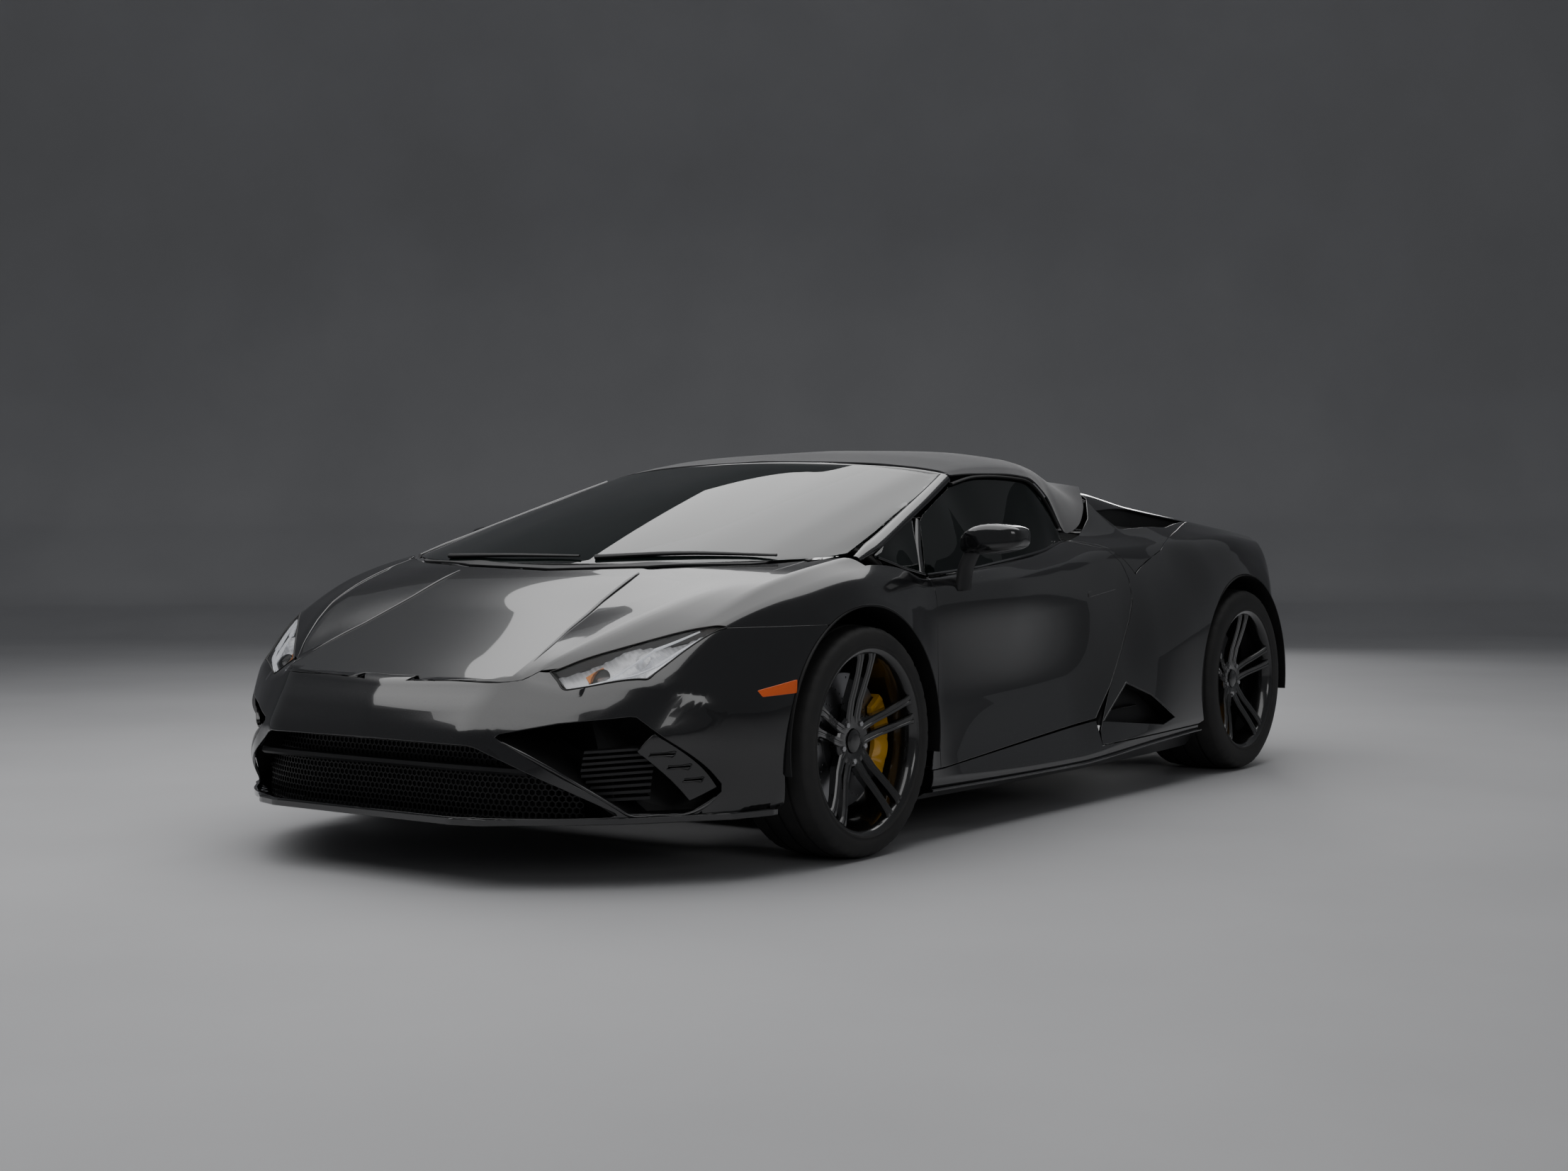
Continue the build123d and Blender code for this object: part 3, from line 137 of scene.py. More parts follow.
profile = [(-BACKDROP_REACH, 0), (10.6, 0), (12.6, 0.25), (13.8, 1.1), (14.3, 2.4), (14.4, 10.5)]
rows = [(a + (c - a) * k / 6, b + (d - b) * k / 6) for (a, b), (c, d) in zip(profile, profile[1:])
        for k in range(6)]
rows.append(profile[-1])
turn = Matrix.Rotation(math.radians(35.5), 3, "Z")
floor_verts = [turn @ Vector((x, y, z)) for y, z in rows for x in (-BACKDROP_REACH, 0, BACKDROP_REACH)]
floor_faces = [(k, k + 1, k + 4, k + 3) for r in range(len(rows) - 1) for k in (3 * r, 3 * r + 1)]
floor = smooth(new_object("studio_floor", floor_verts, floor_faces))
floor.data.materials.append(floor_material)

world = bpy.data.worlds.new("studio_air")
world.use_nodes = True
air = world.node_tree.nodes["Background"]
Nodes(world.node_tree).feed(air, {"Color": (0.82, 0.84, 0.88, 1), "Strength": 0.16})
bpy.context.scene.world = world


def soft_box(name, place, aim, size, power):
    lamp = bpy.data.lights.new(name, "AREA")
    lamp.shape = "RECTANGLE"
    lamp.size, lamp.size_y = size
    lamp.energy = power
    obj = bpy.data.objects.new(name, lamp)
    obj.location = place
    obj.rotation_euler = (Vector(aim) - Vector(place)).to_track_quat("-Z", "Y").to_euler()
    bpy.context.scene.collection.objects.link(obj)


soft_box("ceiling_box", (-1.0, -1.6, 4.5), (-1.0, -1.7, 0), (7.0, 11.4), 400)
soft_box("left_fill", (6.5, -4.0, 2.6), (0, -0.5, 0.5), (2.5, 2.0), 30)
soft_box("tail_fill", (-3.5, 7.5, 2.8), (0, 1.0, 0.5), (3.0, 2.0), 90)

camera_data = bpy.data.cameras.new("viewpoint")
camera_data.lens = 46.94
camera_data.sensor_width = 36
camera_data.clip_end = 60
camera = bpy.data.objects.new("viewpoint", camera_data)
camera.location = (4.0598, -5.9987, 0.9148)
look = Matrix.Rotation(math.radians(35.531), 3, "Z") @ Matrix.Rotation(math.radians(90 - 1.517), 3, "X")
camera.rotation_euler = (look @ Matrix.Rotation(math.radians(-0.164), 3, "Z")).to_euler()
bpy.context.scene.collection.objects.link(camera)
bpy.context.scene.camera = camera
bpy.context.scene.view_settings.view_transform = "AgX"

# ------------------------------------------------------------------ body skin: front bonnet lid
# The bonnet is one pressed aluminium panel, hinged under the windscreen. Its two raised lines run from
# the nose to the screen, and its front edge is notched over the badge place. Gloss black lacquer.
MM = 0.001
STAND = 25          # the car is drawn from a station in the cabin and stood 25 mm further back
GAP = 4             # shut lines, in mm
SKIN_LINES = [
    [(-2340, 436, 458), (-2185, 428, 524), (-2042, 414, 587), (-1800, 388, 690), (-1558, 361, 793),
     (-1450, 352, 826), (-1180, 352, 850), (-500, 352, 830), (0, 352, 850), (400, 350, 920),
     (560, 345, 955), (700, 338, 966), (1000, 345, 938), (1400, 400, 905), (1800, 440, 872),
     (2150, 470, 845), (2300, 480, 832)],
    [(-2340, 456, 442), (-2200, 440, 504), (-2084, 442, 563), (-1800, 511, 699), (-1558, 539, 789),
     (-1450, 550, 818), (-1180, 576, 850), (-500, 571, 825), (0, 546, 854), (400, 520, 932),
     (560, 500, 986), (680, 470, 1056), (1000, 480, 1012), (1400, 535, 957), (1800, 580, 908),
     (2150, 590, 852), (2300, 592, 836)],
    [(-2340, 475, 425), (-2200, 450, 488), (-2084, 467, 555), (-2008, 519, 604), (-1898, 586, 662),
     (-1785, 642, 712), (-1664, 682, 753), (-1539, 723, 784), (-1413, 758, 812), (-1182, 800, 850),
     (-880, 800, 800), (-500, 790, 820), (0, 740, 858), (285, 700, 900), (400, 690, 925),
     (560, 660, 985), (680, 600, 1056), (1000, 630, 1008), (1400, 690, 953), (1800, 710, 905),
     (2150, 690, 850), (2300, 680, 835)],
    [(-2340, 520, 400), (-2100, 560, 500), (-1979, 650, 575), (-1759, 775, 690), (-1539, 815, 778),
     (-1300, 850, 830), (-1182, 872, 845), (-1000, 895, 810), (-880, 900, 775), (-500, 880, 798),
     (0, 815, 842), (285, 750, 882), (400, 755, 888), (560, 760, 892), (700, 760, 897),
     (1000, 780, 912), (1400, 770, 925), (1800, 780, 890), (2150, 750, 832), (2300, 735, 815)],
    [(-2340, 600, 330), (-2100, 690, 450), (-1979, 756, 520), (-1759, 832, 664), (-1539, 890, 730),
     (-1260, 925, 785), (-1000, 930, 750), (-850, 925, 735), (-400, 925, 745), (0, 900, 780),
     (400, 875, 830), (830, 860, 845), (1100, 885, 865), (1360, 900, 880), (1700, 885, 855),
     (2000, 850, 800), (2300, 800, 760)],
    [(-2340, 680, 300), (-2100, 780, 380), (-1900, 870, 440), (-1700, 935, 490), (-1600, 950, 540),
     (-1450, 960, 640), (-1260, 962, 690), (-1050, 955, 640), (-900, 925, 560), (-800, 912, 500),
     (0, 885, 480), (400, 905, 500), (640, 940, 540), (900, 960, 620), (1150, 966, 700),
     (1360, 966, 730), (1600, 960, 690), (1750, 945, 600), (1950, 910, 540), (2300, 840, 520)],
    [(-2340, 690, 215), (-2000, 840, 240), (-1700, 930, 260), (-1500, 950, 300), (-1050, 945, 300),
     (-850, 925, 300), (0, 900, 320), (400, 925, 380), (640, 945, 380), (900, 955, 400),
     (1360, 960, 400), (1750, 940, 380), (2000, 900, 360), (2300, 820, 340)],
    [(-2340, 680, 184), (-1800, 880, 186), (-1640, 912, 186), (-880, 932, 160), (0, 945, 150),
     (640, 955, 180), (900, 955, 190), (1360, 955, 200), (1700, 940, 225), (2000, 890, 255),
     (2300, 800, 280)],
    [(-2340, 610, 168), (-1800, 810, 168), (-1640, 828, 168), (-880, 862, 115), (0, 875, 110),
     (640, 885, 112), (1000, 885, 118), (1360, 885, 140), (1700, 870, 170), (2000, 820, 215),
     (2300, 730, 255)],
]
NOSE_PLANS = [
    (60, [(0, -2266), (330, -2266), (540, -2180), (700, -2022), (800, -1880), (858, -1790), (935, -1600)]),
    (200, [(0, -2272), (345, -2270), (550, -2182), (705, -2025), (803, -1883), (860, -1795), (940, -1600)]),
    (375, [(0, -2271), (367, -2264), (560, -2165), (735, -2040), (848, -1900), (912, -1765), (955, -1600)]),
    (450, [(0, -2246), (372, -2228), (562, -2132), (748, -2010), (856, -1885), (916, -1762), (958, -1600)]),
    (520, [(0, -2192), (392, -2172), (567, -2085), (760, -1970), (862, -1870), (920, -1760), (960, -1600)]),
    (720, [(0, -2090), (392, -2070), (567, -2000), (770, -1870), (870, -1790), (930, -1700), (970, -1590)]),
    (1300, [(0, -1790), (392, -1770), (567, -1700), (770, -1570), (870, -1490), (930, -1400), (980, -1290)]),
]
TAIL_PLANS = [
    (60, [(0, 2130), (400, 2120), (600, 2070), (715, 1985), (800, 1880), (880, 1740), (960, 1590)]),
    (300, [(0, 2215), (400, 2200), (600, 2140), (715, 2035), (800, 1920), (880, 1785), (965, 1600)]),
    (560, [(0, 2240), (400, 2225), (600, 2165), (715, 2060), (800, 1945), (885, 1800), (968, 1600)]),
    (760, [(0, 2215), (400, 2200), (590, 2125), (700, 2005), (785, 1890), (870, 1760), (968, 1590)]),
    (880, [(0, 2190), (390, 2170), (560, 2085), (670, 1965), (750, 1855), (830, 1750), (968, 1590)]),
    (1300, [(0, 2150), (390, 2130), (560, 2045), (670, 1925), (750, 1815), (830, 1710), (968, 1560)]),
]


def curve_table(line, start, end):
    """A line's two values at every millimetre from start to end, on a curve that never overshoots."""
    at = np.array([p[0] for p in line], float)
    values = np.array([p[1:] for p in line], float)
    slopes = np.diff(values, axis=0) / np.diff(at)[:, None]
    ends = np.zeros_like(values)
    both = slopes[:-1] * slopes[1:]
    total = slopes[:-1] + slopes[1:]
    ends[1:-1] = np.where(both > 0, 2 * both / np.where(total == 0, 1, total), 0)
    ends[0], ends[-1] = slopes[0], slopes[-1]
    grid = np.arange(start, end + 1, dtype=float)
    k = np.clip(np.searchsorted(at, grid, side="right") - 1, 0, len(at) - 2)
    span = (at[k + 1] - at[k])[:, None]
    t = np.clip((grid - at[k])[:, None] / span, 0, 1)
    h = t * t * (3 - 2 * t)
    ease = ends[k] * t * (1 - t) ** 2 - ends[k + 1] * t * t * (1 - t)
    return values[k] * (1 - h) + values[k + 1] * h + span * ease



class Skin:
    """A surface through lines. Its place along the lines is v, and across them s, where each whole
    number is a line; corners[k] says how far, in steps of s, line k is rounded off."""

    def __init__(self, lines, corners, start, end):
        self.start, self.end = start, end
        self.tables = np.array([curve_table(line, start, end) for line in lines])
        self.corners = corners
        self.last = len(lines) - 1

    def controls(self, v):
        place = np.clip(np.asarray(v, float) - self.start, 0, self.end - self.start - 1e-6)
        low = place.astype(int)
        t = (place - low)[:, None]
        return self.tables[:, low] * (1 - t) + self.tables[:, low + 1] * t

    def between(self, points, s):
        k = np.clip(s.astype(int), 0, self.last - 1)
        t = (s - k)[:, None]
        index = np.arange(len(s))
        return points[k, index] * (1 - t) + points[k + 1, index] * t

    def flat(self, s, v):
        """The two section values at (s, v), for arrays of each."""
        s, v = np.clip(np.asarray(s, float), 0, self.last), np.asarray(v, float)
        points = self.controls(v)
        found = self.between(points, s)
        for k in range(1, self.last):
            w = self.corners[k]
            near = np.abs(s - k) < w
            if w > 0 and near.any():
                sub = points[:, near]
                count = near.sum()
                t = ((s[near] - k + w) / (2 * w))[:, None]
                first = self.between(sub, np.full(count, k - w))
                second = self.between(sub, np.full(count, k + w))
                found[near] = first * (1 - t) ** 2 + sub[k] * 2 * t * (1 - t) + second * t * t
        return found


def least(a, b, softness):
    """The smaller of two values, blended over a softness."""
    h = np.clip(0.5 + 0.5 * (b - a) / softness, 0, 1)
    return b * (1 - h) + a * h - softness * h * (1 - h)


section = Skin([[(y, 0, z) for y, x, z in SKIN_LINES[0]]] + SKIN_LINES,
               [0, 0.05, 0.3, 0.34, 0.16, 0.4, 0.46, 0.4, 0.2, 0], -2340, 2300)


def plan_lines(plans):
    lines = [[(height, *half[k]) for height, half in plans] for k in range(7)]
    sign = 1 if plans[0][1][0][1] > 0 else -1
    return lines + [[(height, 985, half[6][1] - sign * 200) for height, half in plans]]


nose = Skin(plan_lines(NOSE_PLANS), [0, 0.12, 0.4, 0.45, 0.45, 0.45, 0.3, 0], 60, 1300)
tail = Skin(plan_lines(TAIL_PLANS), [0, 0.25, 0.4, 0.45, 0.45, 0.45, 0.3, 0], 60, 1300)


def looked_up(table, a, b):
    """A table's value at fractional places (a, b), blended between the nearest four."""
    a, b = np.clip(a, 0, table.shape[0] - 1.001), np.clip(b, 0, table.shape[1] - 1.001)
    i, j = a.astype(int), b.astype(int)
    a, b = a - i, b - j
    return (table[i, j] * (1 - a) * (1 - b) + table[i + 1, j] * a * (1 - b)
            + table[i, j + 1] * (1 - a) * b + table[i + 1, j + 1] * a * b)


REACH_Z = np.arange(100, 1290, 10)
REACH_Y = np.arange(1400, 2300, 4)


def plan_reach(plan, sign):
    """How far out the nose or tail plan lies at each height and each distance from the middle."""
    found = np.zeros((len(REACH_Z), len(REACH_Y)))
    for row, height in zip(found, REACH_Z):
        x, y = plan.flat(np.linspace(0, 6, 121), np.full(121, height)).T * [[1], [sign]]
        order = np.argsort(y)
        row[:] = np.where(REACH_Y < y[-1], 1200, np.interp(REACH_Y, y[order], x[order]))
    return found


REACH = {-1: plan_reach(nose, -1), 1: plan_reach(tail, 1)}


def end_reach(y, z):
    """The half width that the nose and tail plans leave at (y, z)."""
    out = np.full(len(y), 1200.0)
    for sign, table in REACH.items():
        near = sign * y > 1440
        out[near] = looked_up(table, (z[near] - REACH_Z[0]) / 10, (sign * y[near] - REACH_Y[0]) / 4)
    return out


def skin_points(s, y):
    """Points of the body skin in mm; a negative s is the right side."""
    s, y = np.asarray(s, float), np.asarray(y, float)
    flat = section.flat(np.abs(s), y)
    x = np.maximum(least(flat[:, 0], end_reach(y, flat[:, 1]), 8), 0)
    return np.column_stack([x * np.sign(s), y, flat[:, 1]])


def nose_points(s, z, plan=nose, sign=-1):
    """Points of the nose or tail wall in mm, kept inside the body's own width."""
    s, z = np.asarray(s, float), np.asarray(z, float)
    flat = plan.flat(np.abs(s), z)
    y = flat[:, 1]
    side = section_width(np.clip(y, -2330, 2290), z)
    x = np.where(np.abs(s) > 2.2, least(flat[:, 0], side, 8), flat[:, 0])
    return np.column_stack([x * np.sign(s), y, z])


GRID_Y = np.arange(-2340, 2301, 20)
WIDTHS = [section.flat(np.linspace(4, 9, 101), np.full(101, y)) for y in GRID_Y]


def section_width(y, z):
    """The half width of the body skin at (y, z), below the shoulder."""
    place = np.clip((y - GRID_Y[0]) / 20, 0, len(GRID_Y) - 1.001)
    low = place.astype(int)
    near, far = [np.array([np.interp(-height, -WIDTHS[k][:, 1], WIDTHS[k][:, 0]) for k, height in zip(at, z)])
                 for at in (low, low + 1)]
    return near + (far - near) * (place - low)


def find_s(surface, v, value, axis, low, high):
    """The s at which a surface's section value reaches value, between low and high."""
    grid = np.linspace(low, high, 240)
    got = surface.flat(grid, np.full(240, v))[:, axis]
    if got[-1] < got[0]:
        return float(np.interp(-value, -got, grid))
    return float(np.interp(value, got, grid))


def from_plan(outline):
    """An outline seen from above, (x, y) in mm, as (s, y) on the skin."""
    return [(math.copysign(find_s(section, y, abs(x), 0, 0, 5.4), x), y) for x, y in spread(outline)]


def from_side(outline):
    """An outline seen from the side, (y, z) in mm, as (s, y) on the skin."""
    return [(find_s(section, y, z, 1, 3.6, 9), y) for y, z in spread(outline)]


def ring_in(place, outline):
    """A closed outline placed by from_plan or from_side."""
    return place(outline + outline[:1])[:-1]


def points_at(surface, ring):
    """The points of a surface at a list of (s, v) places."""
    return surface(*np.array(ring, float).T)


def spread(outline, step=22):
    """An open outline with more points on its long runs."""
    found = []
    for (ax, ay), (bx, by) in zip(outline[:-1], outline[1:]):
        count = max(1, int(math.hypot(bx - ax, by - ay) / step))
        found += [(ax + (bx - ax) * k / count, ay + (by - ay) * k / count) for k in range(count)]
    return found + [outline[-1]]


def arc(centre, radius, first, last, step=4):
    """Points round a circle, angles in degrees."""
    count = max(2, int(abs(last - first) / step))
    angles = [math.radians(first + (last - first) * k / count) for k in range(count + 1)]
    return [(centre[0] + radius * math.cos(a), centre[1] + radius * math.sin(a)) for a in angles]


def inside(points, outline):
    """Which of the points lie inside a closed outline."""
    found = np.zeros(len(points), bool)
    ring = np.array(outline)
    x, y = points[:, 0], points[:, 1]
    for (ax, ay), (bx, by) in zip(ring, np.roll(ring, -1, axis=0)):
        crosses = (ay > y) != (by > y)
        with np.errstate(divide="ignore", invalid="ignore"):
            at = ax + (y - ay) / (by - ay) * (bx - ax)
        found ^= crosses & (x < at)
    return found


def unit(vectors):
    return vectors / np.maximum(np.linalg.norm(vectors, axis=-1, keepdims=True), 1e-9)


def tuck_in(ring, amount, scale):
    """A closed outline in (s, v) drawn in by an amount in mm, where one step of s is scale mm."""
    points = np.array(ring) * (scale, 1)
    before, after = points - np.roll(points, 1, axis=0), np.roll(points, -1, axis=0) - points
    area = np.sum(points[:, 0] * np.roll(points[:, 1], -1) - points[:, 1] * np.roll(points[:, 0], -1))
    total = unit(before[:, ::-1] * (-1, 1)) + unit(after[:, ::-1] * (-1, 1))
    size = np.maximum(np.linalg.norm(total, axis=1), 0.5)
    moved = points + total / (size ** 2)[:, None] * 2 * amount * np.sign(area)
    return [tuple(p) for p in moved / (scale, 1)]


def panel(name, surface, outline, steps, v_step=20, depth=9, edge=2.0, holes=(), gap=GAP / 2, scale=130,
          both=False, relief=None, inward=None, extra=(), sink=0):
    """A pressed panel: the part of a surface inside an outline of (s, v) points, with a rolled edge,
    a back face, and holes. The steps are the s values that get a line of points."""
    rings = [np.array(ring) * (scale, 1) for ring in (tuck_in(outline, gap, scale), *holes)]
    (left, low), (right, high) = rings[0].min(axis=0), rings[0].max(axis=0)
    levels = [*np.arange(math.ceil(low / v_step) * v_step, high, v_step), *extra]
    lines = [[(s * scale, low - 5), (s * scale, high + 5)] for s in steps if left < s * scale < right]
    lines += [[(left - 5, v), (right + 5, v)] for v in levels]
    verts, edges = np.vstack(lines + rings), [(2 * k, 2 * k + 1) for k in range(len(lines))]
    for ring in rings:
        start = len(edges) + len(lines)
        edges += [(start + k, start + (k + 1) % len(ring)) for k in range(len(ring))]
    flat, _, faces, _, _, _ = delaunay_2d_cdt([Vector(v) for v in verts], edges, [], 4, 0.02)
    flat = np.array([tuple(v) for v in flat])
    middles = np.array([flat[list(f)].mean(axis=0) for f in faces])
    keep = inside(middles, rings[0])
    for ring in rings[1:]:
        keep &= ~inside(middles, ring)
    faces = [f for f, k in zip(faces, keep) if k]
    used = sorted({v for f in faces for v in f})
    index = {v: k for k, v in enumerate(used)}
    faces = [[index[v] for v in f] for f in faces]
    return shell(name, surface, *(flat[used] / (scale, 1)).T, faces, depth, edge, both, relief, inward, sink)


def with_mirror(points, faces):
    """A mesh with its mirror image on the other side of the car."""
    count = len(points)
    points = np.array(points)
    return np.vstack([points, points * (-1, 1, 1)]), faces + [[v + count for v in f[::-1]] for f in faces]


def shell(name, surface, s, v, faces, depth, edge, both, relief, inward, sink=0):
    """Turns faces on a surface into a closed panel with a rolled edge and a back face."""
    tiny = 0.004
    points = surface(s, v)
    across = surface(s + tiny, v) - surface(s - tiny, v)
    along = surface(s, v + 1.0) - surface(s, v - 1.0)
    normals = unit(np.cross(along, across))
    if np.sum(normals * (points * (1, 0.02, 1) - (0, 0, 300))) < 0:
        normals = -normals
    if relief is not None:
        points = points + normals * relief(s, v, points)[:, None]
    points = points - normals * sink
    sides = [(a, b) for f in faces for a, b in zip(f, f[1:] + f[:1])]
    known = set(sides)
    border = [(a, b) for a, b in sides if (b, a) not in known]
    corners = points[np.array([f[:3] for f in faces[:400]])]
    facing = np.cross(corners[:, 1] - corners[:, 0], corners[:, 2] - corners[:, 0])
    flip = np.sum(np.sign(np.sum(facing * normals[[f[0] for f in faces[:400]]], axis=1))) < 0
    a, b = np.array(border).T
    push = unit(np.cross(points[b] - points[a], normals[a] + normals[b])) * (-1 if flip else 1)
    outward = np.zeros_like(points)
    np.add.at(outward, a, push)
    np.add.at(outward, b, push)
    outward = unit(outward)
    rim = sorted({a for pair in border for a in pair})
    all_points, all_normals, levels = [points], [normals], [{v: v for v in rim}]
    total = len(points)
    back = normals if inward is None else np.tile(-np.array(inward, float), (total, 1))
    for angle, drop in ((35, 0), (68, 0), (90, 0), (90, depth - edge)):
        turned, level = math.sin(math.radians(angle)), math.cos(math.radians(angle))
        all_points.append(points[rim] + edge * (outward[rim] * turned - normals[rim] * (1 - level))
                          - back[rim] * drop)
        all_normals.append(normals[rim] * level + outward[rim] * turned)
        levels.append({v: total + k for k, v in enumerate(rim)})
        total += len(rim)
    inner = [k for k in range(len(points)) if k not in levels[0]]
    all_points.append(points[inner] - back[inner] * depth)
    all_normals.append(-normals[inner])
    back_at = {v: total + k for k, v in enumerate(inner)} | levels[-1]
    out_faces = list(faces)
    for upper, lower in zip(levels, levels[1:]):
        out_faces += [[upper[b], upper[a], lower[a], lower[b]] for a, b in border]
    out_faces += [[back_at[v] for v in reversed(f)] for f in faces]
    points = np.vstack(all_points) + (0, STAND, 0)
    vertex_normals = np.vstack(all_normals)
    if flip:
        out_faces = [f[::-1] for f in out_faces]
    if both:
        points, out_faces = with_mirror(points, out_faces)
        vertex_normals = np.vstack([vertex_normals, vertex_normals * (-1, 1, 1)])
    obj = new_object(name, points * MM, out_faces)
    obj.data.shade_smooth()
    obj.data.normals_split_custom_set_from_vertices([tuple(v) for v in unit(vertex_normals)])
    return obj


def steps_between(first, last, corners, fine=5):
    """Values of s with several close to each rounded line and some between."""
    found = set()
    for k in range(int(math.floor(first)), int(math.ceil(last)) + 1):
        w = corners[k] if 0 < k < len(corners) else 0.1
        found |= {round(k + w * j / 2, 4) for j in range(-2, 3)}
        found |= {round(k + j / fine, 4) for j in range(fine)}
    ordered = sorted(f for f in found if first <= f <= last)
    kept = [ordered[0]]
    for value in ordered[1:]:
        if value - kept[-1] > 0.018:
            kept.append(value)
    return kept


def mirrored_steps(steps):
    return sorted({-s for s in steps if s > 0.02} | {s for s in steps if s > 0.02} | {0.0})


def new_group(name, given, found):
    """A shader node group that takes coordinates and numbers and puts out numbers."""
    tree = bpy.data.node_groups.new(name, "ShaderNodeTree")
    tree.interface.new_socket("Coordinates", in_out="INPUT", socket_type="NodeSocketVector")
    for word, way in [(word, "INPUT") for word in given] + [(word, "OUTPUT") for word in found]:
        tree.interface.new_socket(word, in_out=way, socket_type="NodeSocketFloat")
    return Nodes(tree), tree.nodes.new("NodeGroupInput").outputs, tree.nodes.new("NodeGroupOutput")


def dust_and_painted_sheen_group():
    """Dust: fine specks and faint swirl marks that lift the lacquer's roughness; and painted sheen: broad
    patches that lighten its colour a little.
    """
    n, given, found = new_group("dust_and_painted_sheen", ["Amount"], ["Dust", "Painted Sheen"])
    broad = n.noise(given["Coordinates"], 1.7, 5)
    specks = n.ramp(n.noise(given["Coordinates"], 420, 2), 0.62, 0.8)
    # The second output is painted sheen: broad patches that lighten the lacquer's colour.
    n.feed(found, {"Dust": n.math("MULTIPLY", n.math("MULTIPLY", specks, broad), given["Amount"]),
                   "Painted Sheen": n.math("MULTIPLY", broad, given["Amount"])})
    return n.tree


def grain_group():
    """Fine moulded grain: a height and a roughness change for plastic, hide and rubber."""
    n, given, found = new_group("moulded_grain", ["Scale"], ["Height", "Wear"])
    cells = n.add("ShaderNodeTexVoronoi", {"Vector": given["Coordinates"], "Scale": given["Scale"]},
                  "Distance", feature="SMOOTH_F1")
    n.feed(found, {"Height": cells, "Wear": n.noise(given["Coordinates"], 9, 6)})
    return n.tree


dust_and_painted_sheen = dust_and_painted_sheen_group()
moulded_grain = grain_group()


def lacquer(name, colour, deep, roughness=0.16, dust_and_sheen=1.0, metallic=0.0):
    """Clear-coated paint: a coloured base under a smooth coat. Dust specks lift its roughness a trace, and
    broad patches of painted sheen blend its colour towards deep.
    """
    m = Material(name)
    dust_and_sheen_outputs = m.group(dust_and_painted_sheen, Amount=dust_and_sheen)
    # The base colour is blended towards deep in broad patches of painted sheen.
    return m.shaded(Base_Color=m.mix(dust_and_sheen_outputs["Painted Sheen"], colour, deep), Metallic=metallic,
                    Roughness=m.math("ADD", m.math("MULTIPLY", dust_and_sheen_outputs["Dust"], 0.5), roughness),
                    Coat_Weight=1.0, Coat_Roughness=0.015, Coat_IOR=1.5)


def grained(name, colour, worn, scale=900, roughness=0.5, depth=0.00025, glow=0.0):
    """Moulded or stitched covering with a fine grain; a light guide's also glows."""
    m = Material(name)
    grain = m.group(moulded_grain, Scale=scale)
    return m.shaded(Base_Color=m.mix(m.ramp(grain["Wear"], 0.3, 0.75), colour, worn),
                    Roughness=m.ramp(grain["Wear"], 0.2, 0.8, roughness - 0.06, roughness + 0.08),
                    Normal=m.bump(grain["Height"], 0.35, depth), Emission_Strength=glow,
                    Emission_Color=(0.9, 0.93, 1.0, 1) if glow else (1, 1, 1, 1))


black_paint = lacquer("black_lacquer", (0.0045, 0.0045, 0.005, 1), (0.007, 0.007, 0.008, 1))
trim_plastic = grained("black_grained_plastic", (0.011, 0.011, 0.012, 1), (0.02, 0.02, 0.021, 1))


def finish(obj, material, body, slot, *nodes):
    """Gives a piece its material and its body, and hides the CAD nodes it stands for. The slot is not used.
    """
    if not obj.data.materials:
        obj.data.materials.append(material)
    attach(obj, body)
    if nodes:
        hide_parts(*nodes)
    return obj


def ring_of(half):
    """A half outline from the middle outward and back to the middle, closed with its mirror image."""
    return half + [p for p in on_one_side(half, -1) if abs(p[0]) > 1e-6]


def on_one_side(ring, side):
    """An outline of (s, v) as it stands on the left, 1, or mirrored to the right, -1."""
    return [(side * s, v) for s, v in ring][::side]


HOOD_REAR = [(776, -1318), (640, -1408), (350, -1508), (0, -1535)]
HOOD_FRONT = [(0, -2166), (100, -2163), (128, -2186), (330, -2183), (430, -2172)]
hood_side = [(x, y) for y, x, z in SKIN_LINES[2] if -2090 < y < -1400]
hood_half = from_plan(HOOD_FRONT + hood_side + HOOD_REAR)


def hood_relief(s, v, points):
    """The middle of the bonnet stands a little proud between its two blades, more towards the screen."""
    past = np.abs(points[:, 0]) - np.interp(v, [-2060, -1895, -1540], [426, 395, 352])
    inward = 1 / (1 + np.exp(past / 7))
    return 3.0 * (inward - 1) * np.clip((v + 2060) / 420, 0, 1) * np.clip((-v - 1420) / 60, 0, 1)


finish(panel("bonnet", skin_points, ring_of(hood_half),
             mirrored_steps(steps_between(0, 4, section.corners, 7)), relief=hood_relief), black_paint,
       "hood", "paint", "hood")

# ------------------------------------------------------------------ front wings
# Each wing is one aluminium pressing from the lamp to the door, folded along its crest and rolled into
# the wheel arch. It is bolted on under the bonnet edge.
FRONT_AXLE = (-1260, 327)
REAR_AXLE = (1360, 345)
FRONT_ARCH = 383
REAR_ARCH = 400
LAMP_OUTLINE = [(493, -2072), (556, -2088), (734, -1970), (826, -1753)]
wing_door_edge = [(-843, 213), (-838, 500), (-846, 640), (-858, 740), (-862, 770)]
wing_arch = arc(FRONT_AXLE, FRONT_ARCH, -17.5, 119.5)
wing_top = [(894, -870), (898, -1000), (894, -1196), (850, -1246), (812, -1288), (790, -1330)]
wing_half = (from_side(wing_door_edge) + from_plan(wing_top) + from_plan([(776, -1318)] + hood_side[::-1])
             + from_plan([(493, -2072), (826, -1753)])[1:] + from_side([(-1752, 664), (-1449, 660)])[1:]
             + from_side(wing_arch[::-1])[1:])
wing = panel("front_wings", skin_points, wing_half, steps_between(2.6, 8, section.corners, 6), both=True)
finish(wing, black_paint, "car", "paint", "front_fenders")

